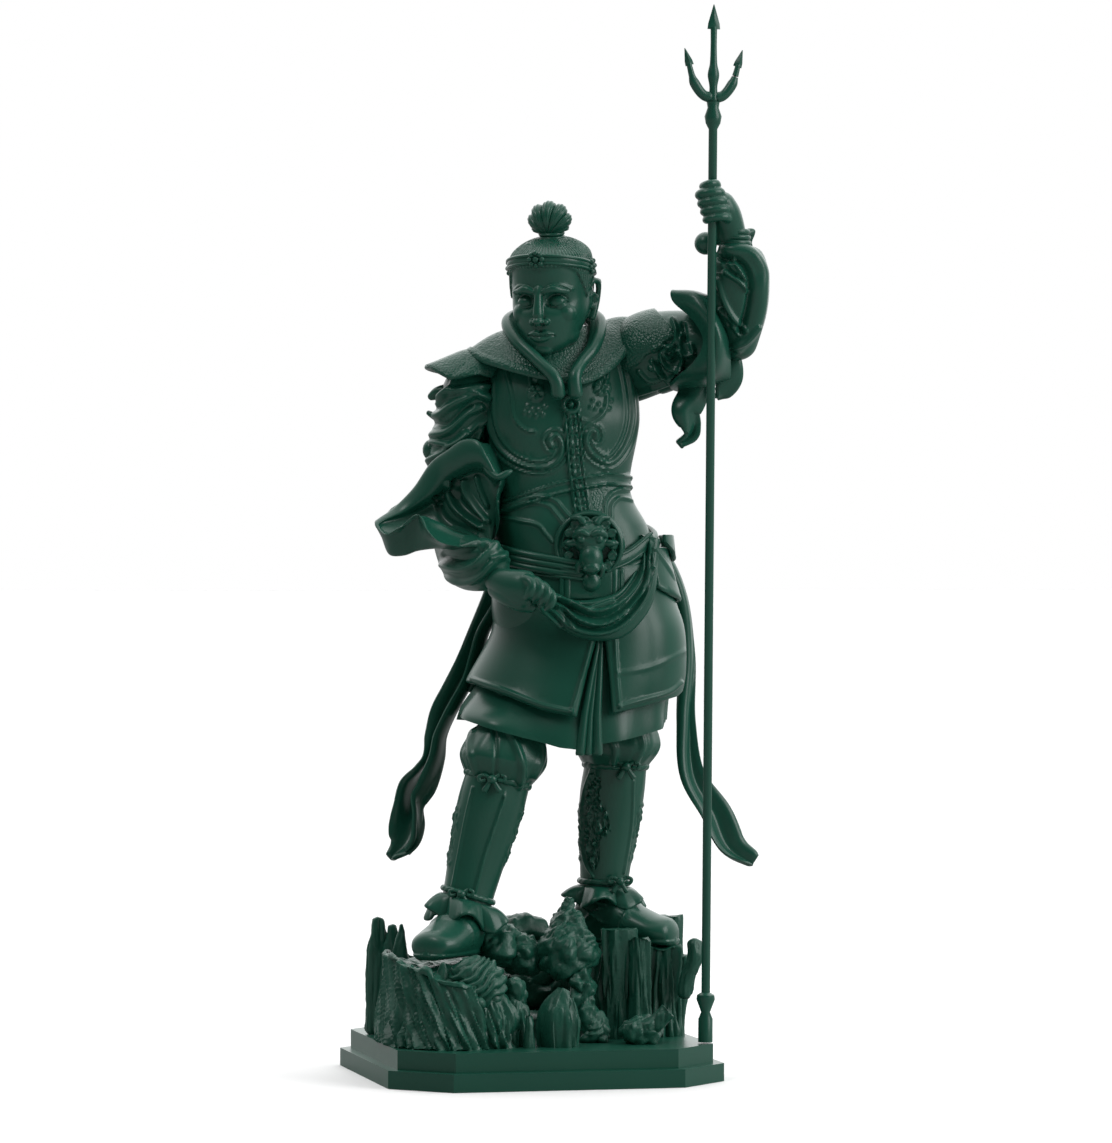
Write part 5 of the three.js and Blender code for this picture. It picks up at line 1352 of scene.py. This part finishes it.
def left_arm():
    upper = limb([[16, 4, 156.6], [24, 3, 158.2], [29, -1, 161.6], [35, -5, 163.2], [42, -10, 163.4],
                  [46.6, -14, 162]],
                 [[6, 6], [7.4, 8], [9, 9.7], [8.4, 9.2], [6.8, 7.6], [5.4, 6]], 170, 170, AHEAD)
    upper = emboss(upper, heights(patch(0.9, GUARD), carved(LINING), slack(1.4, 2)))
    rim = from_front(FLARE)
    elbow = np.array([46.4, -13, 161.6])
    ring = ring_points(elbow, 5.6, UP, np.array([-0.4, -0.9, 0]), len(rim))
    sleeve = slab(drape([ring, from_front(FLARE_BELLY), rim], 220, 90), CLOTH, closed=True)
    fore = limb([[46.8, -14, 160.6], [47, -16, 165], [46.6, -18, 170.6], [46.2, -19.4, 176.4],
                 [45.8, -20.4, 182], [44.9, -21.6, 185.6], [44.6, -22, 187.6]],
                [[3.6, 4], [4.8, 5], [6.5, 6.2], [7.3, 6.8], [6.9, 6.4], [5.4, 5.2], [3.9, 4]], 170, 180)
    level = lambda t: VIEW_RIGHT + 0.4 * (t ** 2)[:, None] * UP
    flap = ribbon(from_front([[47.2, 163, -3], [47.9, 159.6, -3.6], [47.6, 155.8, -3.4], [45.9, 152.6, -2.6],
                              [44.4, 151.2, -2]]), [3.6, 5, 5.8, 4.6, 1.2], level, 0.5, 0.7, steps=60)
    tail = ribbon(from_front([[39.6, 157.6, 0], [38.7, 152, -1], [37.3, 148.2, -2], [38.3, 144.8, -1.4],
                              [38.2, 142.6, -1], [35.4, 140.2, -1]]),
                  [6.6, 7.2, 7, 5, 3.6, 0.4], turning(-0.3, 0.2), 0.9, 0.9)
    along = np.array([-0.12, 0.0, 1.0])
    bands = [hoop(from_front([[48.2, 187.6 + 1.3 * k, -9.6]])[0], along + 0.14 * VIEW_RIGHT, 3.6 - 0.1 * k,
                  3.7, [0.7, 0.6]) for k in range(3)]
    bow = front_limb([[50.8, 189.6, -9.4], [52.4, 190.4, -8], [51.8, 188, -7], [52.6, 186, -6.4]],
                     [[0.8, 0.8], [1, 0.7], [0.9, 0.6], [0.5, 0.4]], 14, 40)
    stud = ball(seen([[41.7, 187.6]], -8)[0], [2.7, 2.7, 2.7], sides=30)
    fore = emboss(fore, heights(carved(FORE_FOLDS, 0.45), slack(1, 5)))
    return [grained(upper, GUARD, back=True), sleeve, fore, flap, tail, *bands, bow, stud, fist()]


# Rocks, stump and logs

def wood(deep, twist=0.0, seed=3, fine=1.0, centre=(0, 0)):
    """A height function for old wood: ridges along a grain that winds about a centre on its way up."""
    def height(points, normals):
        x, y = (points[:, :2] - centre).T
        angle = twist * points[:, 2]
        wound = np.stack([x * np.cos(angle) - y * np.sin(angle), x * np.sin(angle) + y * np.cos(angle)], 1)
        grain = np.concatenate([wound * 0.4 * fine, points[:, 2:] * 0.04], 1)
        ridges = np.abs(fractal(grain, 3, seed))
        side = ease(1.5 - 1.8 * np.abs(normals[:, 2]))
        return deep * side * (ridges - 0.5) + 0.1 * fractal(points * 0.7, 2, seed + 5)
    return height


def crumpled(deep, seed=7, size=0.3):
    """A height function for broken rock: rounded lumps that meet in sharp creases."""
    def height(points, normals):
        bent = points + 1.6 * np.stack([noise(points * 0.2, seed + k) for k in (30, 31, 32)], 1)
        small = 0.4 * np.abs(fractal(bent * 0.5, 3, seed + 9))
        return deep * (np.abs(fractal(bent * size, 2, seed)) - 0.4) + small
    return height


def wrinkled(deep, seed=5):
    """A height function for a burl: wavy wrinkles side by side."""
    def height(points, normals):
        wave = 1.5 * (points[:, 2] - 0.5 * points[:, 0] + 3 * fractal(points * 0.14, 2, seed))
        return deep * (np.abs(np.sin(wave)) - 0.5) + 0.2 * fractal(points * 0.7, 2, seed)
    return height


def log(foot, top, half, depth=None, deep=1.5, jag=0.0, seed=1):
    """A standing log with furrowed sides. jag is how ragged its top is."""
    foot, top, depth = np.array(foot, float), np.array(top, float), depth or half
    turn = angles(120)
    t = np.concatenate([shares(64), np.ones(8)])[:, None]
    shrink = np.concatenate([np.ones(64), np.linspace(0.94, 0.04, 8)])[:, None] * mix(1.08, 0.97, t)
    around = np.stack([1.6 * np.cos(turn) + 0.3, 1.6 * np.sin(turn) + 0.3, 0 * turn + 0.5], 1)
    ragged = jag * noise(around, seed)
    middle = foot + t * (top - foot)
    rings = middle[:, None] + np.stack([half * np.cos(turn) * shrink, depth * np.sin(turn) * shrink,
                                        ragged * t ** 5 * shrink], -1)
    return emboss(tube(rings), wood(deep, 0, seed))


def spike(rows, sizes, deep=0.7, seed=2):
    """A splinter of wood up through [across, height, depth] rows."""
    form = front_limb(rows, sizes, 60, 60, VIEW_RIGHT)
    return emboss(form, wood(deep, 0, seed, 1.6))


def facets(count):
    """A section's shape with flat faces."""
    step = TURN / count
    return lambda a, t: math.cos(step / 2) / np.cos(a % step - step / 2)


def chip(rows, sizes, count, side=(1, 0, 0)):
    """A broken-off piece of wood with flat cut faces."""
    form = front_limb(rows, sizes, 90, 60, side, facets(count), round_ends=False)
    return emboss(form, wood(0.5, 0, 5, 1.2))


def rock(across, height, depth, halves, relief, sides=90):
    return emboss(ball(from_front([[across, height, depth]])[0], halves, sides=sides), relief)


RIM = [  # the stump's rim: [degrees round, height, share of the reach]
    [0, 13, 0.9], [45, 15, 0.96], [90, 18, 1], [130, 19, 1], [160, 20.5, 1], [185, 20.4, 1], [205, 19.4, 1],
    [225, 17.6, 1], [245, 15.4, 1], [260, 14, 0.98], [270, 14.6, 0.94], [282, 12, 0.86], [300, 9, 0.8],
    [330, 9, 0.82], [360, 13, 0.9]]


def stump():
    """The hollow stump under the right foot: a furrowed wall, a worn rim and the floor inside."""
    turn = angles(340)[None, :]
    degrees, rim_height, wide = zip(*RIM)
    rim = np.interp(np.degrees(turn), degrees, rim_height) + 0.7 * noise(np.stack(
        [5 * np.cos(turn[0]), 5 * np.sin(turn[0]), 0.5 + 0 * turn[0]], 1), 6)[None, :]
    wall, lip, floor = shares(80)[:, None], shares(9)[1:, None], shares(20)[1:, None]
    foot_flare = 0.05 * (1 - wall) ** 3
    reach = np.concatenate([1 + foot_flare - 0.03 * wall, 0.97 - 0.09 * lip, mix(0.88, 0.05, floor)])
    height = np.concatenate([rim * wall, rim + 0.9 * np.sin(math.pi * lip) - 0.8 * lip,
                             mix(rim - 0.8, 18.2, ease(1.7 * floor))])
    reach = reach * squared_oval(turn) * np.interp(np.degrees(turn), degrees, wide)
    rings = np.stack([-19.4 + 18 * np.cos(turn) * reach, -10.5 + 22.6 * np.sin(turn) * reach, height], -1)
    worn = crumpled(1.6, 24, 0.22)
    return emboss(tube(rings), heights(wood(2.2, 0.02, 3, 1.1, (-19.4, -10.5)),
                                       lambda p, n: worn(p, n) * np.abs(n[:, 2])))


def rockwork():
    splinters = [
        spike([[-36, -0.6, 5], [-35.8, 19, 5], [-36.2, 28, 5]], [[3.4, 2], [3, 1.6], [1, 0.6]]),
        spike([[-33.4, -0.6, 3], [-32.8, 18, 4], [-32.4, 26.4, 4]],
              [[3.4, 2.4], [2.5, 1.4], [0.7, 0.5]], seed=4),
        spike([[-30.6, 6, -8], [-30.3, 19.6, -8], [-30, 27.2, -7]], [[4, 2], [2, 1.2], [0.4, 0.35]], 0.4),
        spike([[-20, 9, -29.4], [-19.9, 15, -29.4], [-19.7, 19.8, -29.2]],
              [[5, 1.6], [2.6, 1.3], [0.4, 0.35]], 0.4)]
    burl = [rock(-11.9, 14.4, -28.6, [6.8, 6, 6.6], wrinkled(0.8), 150),
            rock(-9.6, 5, -28.6, [7.4, 5.6, 9], wood(2, 0.01, 8), 150),
            rock(-15.4, 11.6, -33.6, [1.5, 1.3, 1.5], crumpled(0.3)),
            rock(-11.2, 10.6, -34, [1.3, 1.1, 1.3], crumpled(0.3)),
            rock(-3, 12.4, -24.6, [2.6, 2.4, 3.6], crumpled(0.7, 3)),
            rock(-3.4, 4, -25, [4, 4, 8], wood(1.6, 0, 8))]
    peak = front_limb([[9, 33.6, -8], [9.1, 31, -8], [9.2, 26.6, -8.6], [9, 21.6, -9.4], [9, 17.4, -9.6],
                       [9.4, 14.6, -9]],
                      [[0.6, 0.6], [2.2, 2], [4.6, 4.2], [7, 6.4], [6.6, 6], [3, 3]], 130, 90, VIEW_RIGHT)
    rocks = [emboss(peak, heights(crumpled(1.8, 11, 0.17), wrinkled(0.35, 2))),
             rock(-7, 22, -10, [5.4, 5, 5], crumpled(1.6, 12, 0.24), 110),
             rock(-1.4, 20, -9, [4.8, 5, 5], crumpled(1.6, 13, 0.24), 110),
             rock(-1.6, 23.6, 0, [6.8, 5.4, 5.2], crumpled(1.8, 14, 0.2)),
             rock(3, 10, 19, [13, 9, 10], crumpled(2, 15, 0.2)),
             rock(13, 9, 12, [8, 6, 12], crumpled(2, 16, 0.2)),
             rock(18, 7, 30, [11, 9, 9], crumpled(3, 17, 0.16)),
             rock(-14, 9, 20, [11, 9, 10], crumpled(3, 18, 0.16)),
             rock(1, 6, 25, [9, 8, 7], crumpled(2.4, 19, 0.18))]
    logs = [log([19, -9.4, -0.6], [19.2, -10.4, 25.8], 4.5, 3.6, 2, seed=1),
            log([23.8, -13, -0.6], [23.6, -13.4, 23.4], 2.8, 2.6, jag=1.6, seed=5),
            log([23.6, 4, -0.6], [23.6, 3, 21.8], 9.4, 8, 1, seed=6),
            log([31.4, -5.6, -0.6], [31.6, -5, 21.4], 4, 4, 2, 1.4, seed=9),
            log([34.4, 2, -0.6], [34.6, 1.6, 28], 3.2, 3, seed=7, jag=0.6),
            log([34.4, -2.6, -0.6], [35.2, -3, 18.6], 3, 5, 1.6, 1, seed=8),
            log([29, 17, -0.6], [28.6, 16, 17], 5, 5, 2, 2, seed=4),
            log([-22, 22, -0.6], [-22.6, 22, 15], 5, 4.6, 2, 2, seed=2)]
    root = front_limb([[10.4, 18, -10], [12.6, 13, -13], [13.2, 8, -14.4], [15.4, 3, -15.4],
                       [16.4, -0.8, -16]],
                      [[2.6, 2.4], [3, 2.6], [2.2, 2.1], [3.2, 2.8], [4, 3.2]], 80, 90)
    chips = [chip([[6.4, -0.8, -27], [6.2, 7.4, -27], [8.4, 13.2, -26]], [[5.2, 3], [4.9, 2.8], [1.6, 1.6]],
                  5, (0.5, -0.6, 0)),
             chip([[9.6, -0.8, -26], [10.2, 6, -26], [9.8, 11.4, -25]], [[2.4, 2], [2, 1.8], [0.8, 0.8]], 6),
             chip([[0.2, -0.8, -30.6], [0.3, 5, -30.6], [0.2, 7.4, -30.2]],
                  [[1.6, 1.4], [1.2, 1.1], [0.8, 0.8]], 7)]
    stub = front_limb([[36.4, 9, -3], [37.6, 14.6, -3.4], [39.4, 19.4, -3.6], [38.8, 23.6, -3.4]],
                      [[2, 2], [1.9, 1.8], [1.9, 1.8], [1.5, 1.4]], 50, 50, AHEAD)
    lump = [rock(26.4, 2.8, -19, [5, 4, 3.8], crumpled(1.2, 8, 0.3)),
            emboss(front_limb([[26, 3, -20], [29.4, 4.6, -20.6], [32.6, 7.8, -20.6]],
                              [[2.6, 2.4], [2.1, 2], [2, 1.9]], 50, 40, round_ends=False),
                   wood(0.8, 0, 4, 1.6))]
    mound = emboss(log([2, 13, -1.2], [2, 13, 5], 32, 18, 0.5), crumpled(2, 20, 0.16))
    forms = [stump(), mound, *splinters, *burl, *rocks, *logs, emboss(root, crumpled(1.6, 3, 0.3)), *chips,
             emboss(stub, wood(0.8, 0, 6, 1.4)), *lump]
    low = [np.maximum(form.points, [[-1e3, -1e3, 0.0]]) for form in forms]
    return [form._replace(points=points) for form, points in zip(forms, low)]


# The trident

GRIP = np.array([38.3, -25, 196])  # where the fist holds the pole
BUTT_RADIUS = 1.7
POLE_RADIUS = 1.025
POLE_LENGTH = 220.0


def trident_forms():
    """The trident along +Z from its foot: ferrule, pole, knob and three barbed tines."""
    butt, pole, top = BUTT_RADIUS, POLE_RADIUS, POLE_LENGTH
    profile = [[0.01, 0], [butt, 0], [butt, 5.4], [butt * 0.62, 7], [butt * 1.28, 10], [butt * 1.2, 11],
               [pole, 11.6], [pole, top - 6.4], [pole * 1.7, top - 5], [pole * 1.98, top - 3.4],
               [pole * 1.3, top - 1.4], [pole * 1.5, top], [0.01, top]]
    shaft = turned(profile, 40)

    def bar(places, sizes):
        path = [[x, 0, top + z] for x, z in places]
        return limb(path, sizes, 20, 40, [1, 0, 0.01] if places[0][0] == places[-1][0] else [0.3, 0, 1])

    def barb(base, tip, half):
        base, tip = (np.array([x, 0, top + z]) for x, z in (base, tip))
        way = unit(tip - base)
        out = np.array([way[2], 0, -way[0]])
        rings = [(base, 0.5, 0.5), (base - way * 0.8, half, 0.5), (mix(base, tip, 0.1), half * 0.9, 0.8),
                 (tip, 0.1, 0.1)]
        turn = angles(4)[:, None]
        return tube(np.stack([c + out * wide * np.cos(turn) + AHEAD * deep * np.sin(turn)
                              for c, wide, deep in rings]))
    middle = bar([(0, -0.6), (0, 3.4), (0, 6.4), (0, 9), (0, 13.4), (0, 18.2)],
                 [[1.3, 1.1], [0.95, 0.9], [1.4, 1.1], [0.9, 0.85], [0.75, 0.75], [0.8, 0.75]])
    forms = [shaft, middle, barb((0, 17.9), (0, 22.9), 1.55)]
    for side in SIDES:
        forms += [bar([(0, 0.9), (side * 2.4, 1.6), (side * 4.6, 4.4), (side * 5.2, 6), (side * 6.1, 9.4)],
                      [[1.4, 1.1], [1.2, 1.05], [1.2, 1], [0.8, 0.75], [0.6, 0.6]]),
                  barb((side * 6, 9.2), (side * 7, 12.4), 1.05)]
    return forms


def trident(foot):
    """The trident, set on its foot and leaning so that it passes through the grip."""
    way = unit(GRIP * SCALE - foot)
    lean = np.array(Vector((0, 0, 1)).rotation_difference(Vector(way)).to_matrix())
    return [f._replace(points=f.points @ lean.T + foot) for f in trident_forms()]


# Materials

GREENS = (0.0070, 0.072, 0.046, 1), (0.0088, 0.088, 0.056, 1)


def add_node(tree, kind, values=(), links=(), **settings):
    """A new node, with [input, value] and [input, output that feeds it] pairs."""
    node = tree.nodes.new(kind)
    for key, value in settings.items():
        setattr(node, key, value)
    for key, value in values:
        node.inputs[key].default_value = value
    for key, output in links:
        tree.links.new(output, node.inputs[key])
    return node


def plastic(name, pebble=0.0, roughness=0.32):
    """One dark green satin plastic, with a fine cast grain and, if asked, a pebbled skin."""
    material = bpy.data.materials.new(name)
    material.use_nodes = True
    tree = material.node_tree
    shader = tree.nodes["Principled BSDF"]
    shader.inputs["Roughness"].default_value = roughness
    shader.inputs["Specular IOR Level"].default_value = 0.45
    place = add_node(tree, "ShaderNodeTexCoord").outputs["Object"]

    def texture(kind, scale, key, value):
        return add_node(tree, kind, [("Scale", scale), (key, value)], [("Vector", place)])
    cloud = texture("ShaderNodeTexNoise", 60, "Detail", 3)
    tint = add_node(tree, "ShaderNodeValToRGB", links=[("Fac", cloud.outputs["Fac"])])
    for stop, green in zip(tint.color_ramp.elements, GREENS):
        stop.color = green
    tree.links.new(tint.outputs["Color"], shader.inputs["Base Color"])
    grain = texture("ShaderNodeTexNoise", 2600, "Detail", 2)
    bump = add_node(tree, "ShaderNodeBump", [("Strength", 0.25), ("Distance", 0.04 * MM)],
                    [("Height", grain.outputs["Fac"])])
    if pebble:
        pebbles = texture("ShaderNodeTexVoronoi", 1700, "Randomness", 1.0)
        bump = add_node(tree, "ShaderNodeBump", [("Strength", pebble), ("Distance", 0.18 * MM)],
                        [("Height", pebbles.outputs["Distance"]), ("Normal", bump.outputs["Normal"])],
                        invert=True)
    tree.links.new(bump.outputs["Normal"], shader.inputs["Normal"])
    return material


# Camera, floor and light

LENS = 161.0
CAMERA_PLACE = (-0.2720, -1.1821, 0.1190)
LIGHT_AIM = Vector((0, 0, 0.12))
GLOW_WAY = (0.2, 0.62, 0.76)  # where the room is brightest: above and behind
GLOW = [(0.0, 0.07), (0.42, 0.1), (0.62, 0.34), (0.82, 1.3), (1.0, 2.1)]  # [share of the way there, radiance]
FLOOR_LIT = (0.3, 0.3, 0.3, 1)  # the floor throws less light up than it shows
FLOOR_SEEN = (0.95, 0.95, 0.95, 1)

def camera():
    data = bpy.data.cameras.new("camera")
    data.lens = LENS
    data.sensor_width = 36
    made = bpy.data.objects.new("camera", data)
    made.location = CAMERA_PLACE
    made.rotation_euler = (math.radians(90), 0, -VIEW_TURN)
    bpy.context.scene.collection.objects.link(made)
    bpy.context.scene.camera = made


def area_light(name, place, size, power):
    data = bpy.data.lights.new(name, "AREA")
    data.size = size
    data.energy = power
    made = bpy.data.objects.new(name, data)
    made.location = place
    made.rotation_euler = (LIGHT_AIM - Vector(place)).to_track_quat("-Z", "Y").to_euler()
    bpy.context.scene.collection.objects.link(made)


def room(tree):
    """The light of the room, by direction."""
    place = add_node(tree, "ShaderNodeTexCoord")
    along = add_node(tree, "ShaderNodeVectorMath", [(1, GLOW_WAY)], [(0, place.outputs["Generated"])],
                     operation="DOT_PRODUCT")
    share = add_node(tree, "ShaderNodeMapRange", [("From Min", -1)], [("Value", along.outputs["Value"])])
    glow = add_node(tree, "ShaderNodeFloatCurve", links=[("Value", share.outputs["Result"])])
    curve = glow.mapping.curves[0]
    top = GLOW[-1][1]
    curve.points[0].location = (GLOW[0][0], GLOW[0][1] / top)
    curve.points[-1].location = (1, 1)
    for x, y in GLOW[1:-1]:
        curve.points.new(x, y / top)
    glow.mapping.update()
    strength = add_node(tree, "ShaderNodeMath", [(1, top)],
                        [(0, glow.outputs["Value"])], operation="MULTIPLY")
    light = tree.nodes["Background"]
    light.inputs["Color"].default_value = (1, 1, 1, 1)
    tree.links.new(strength.outputs["Value"], light.inputs["Strength"])
    return light


def seen_straight(tree):
    """1 for what the camera sees without a bounce between, else 0."""
    return add_node(tree, "ShaderNodeLightPath").outputs["Is Camera Ray"]


def pale_floor():
    material = bpy.data.materials.new("pale floor")
    material.use_nodes = True
    tree = material.node_tree
    shader = tree.nodes["Principled BSDF"]
    shader.inputs["Roughness"].default_value = 0.95
    tint = add_node(tree, "ShaderNodeMix", [("A", FLOOR_LIT), ("B", FLOOR_SEEN)],
                    [("Factor", seen_straight(tree))], data_type="RGBA")
    tree.links.new(tint.outputs["Result"], shader.inputs["Base Color"])
    return material


def studio():
    """A white backdrop, soft light from above and from the figure's left, and a dimmer room in front."""
    world = bpy.data.worlds.new("studio")
    world.use_nodes = True
    tree = world.node_tree
    backdrop = add_node(tree, "ShaderNodeBackground", [("Color", (1, 1, 1, 1))])
    blend = add_node(tree, "ShaderNodeMixShader", links=[
        ("Fac", seen_straight(tree)), (1, room(tree).outputs[0]), (2, backdrop.outputs[0])])
    tree.links.new(blend.outputs[0], tree.nodes["World Output"].inputs["Surface"])
    bpy.context.scene.world = world
    bpy.context.scene.view_settings.view_transform = "Standard"
    bpy.ops.mesh.primitive_plane_add(size=60, location=(0, 0, 0))
    floor = bpy.context.object
    floor.name = "floor"
    floor.data.materials.append(pale_floor())
    area_light("key", (1.3, -1.0, 0.8), 1.1, 17)
    area_light("spark", (-1.0, -0.7, 1.5), 0.4, 5)


# Pieces

def dress(made, slot, *materials):
    """Materials and a body for a finished object; slot is not used."""
    for material in materials:
        made.data.materials.append(material)
    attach(made, "root")
    return made


EASED = 0.25 * MM  # the rounding of the plinth's edges


def plinth(material):
    """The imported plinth's own shape with its edges eased."""
    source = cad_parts["plinth"]
    made = bpy.data.objects.new("stepped_plinth", source.data.copy())
    bpy.context.scene.collection.objects.link(made)
    made.data.materials.clear()
    ease_edges = made.modifiers.new("eased edges", "BEVEL")
    ease_edges.width = EASED
    ease_edges.segments = 3
    ease_edges.limit_method = "ANGLE"
    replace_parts(dress(made, "plinth_plastic", material), "plinth")


def main():
    camera()
    studio()
    smooth = plastic("green plastic")
    pebbled = plastic("pebbled green plastic", 0.75)
    cast = plastic("cast green plastic", 0.15, 0.4)
    foot = np.array([35.9, -27.6, 0.3])  # where the trident stands, in millimetres
    plinth(smooth)
    parts = {  # the guardian's forms, and the most triangles that they may have
        "cuirass_and_cape": ([trunk(), cape(), *scarf()], 150000),
        "head": (head(), 125000),
        "right_arm": (right_arm(), 100000),
        "left_arm": (left_arm(), 105000),
        "skirts_and_sashes": ([*skirt(), *belt(), *buckle(), *straps(), *swag(), *sash_ends()], 165000),
        "legs": (legs(), 115000),
    }
    for name, (forms, limit) in parts.items():
        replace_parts(dress(piece(name, forms, limit), "guardian_plastic", smooth, pebbled), "guardian")
    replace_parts(dress(piece("rocks_and_logs", rockwork(), 185000), "rockwork_plastic", cast), "rockwork")
    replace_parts(dress(piece("trident_spear", trident(foot), 30000), "trident_plastic", smooth), "trident")


main()
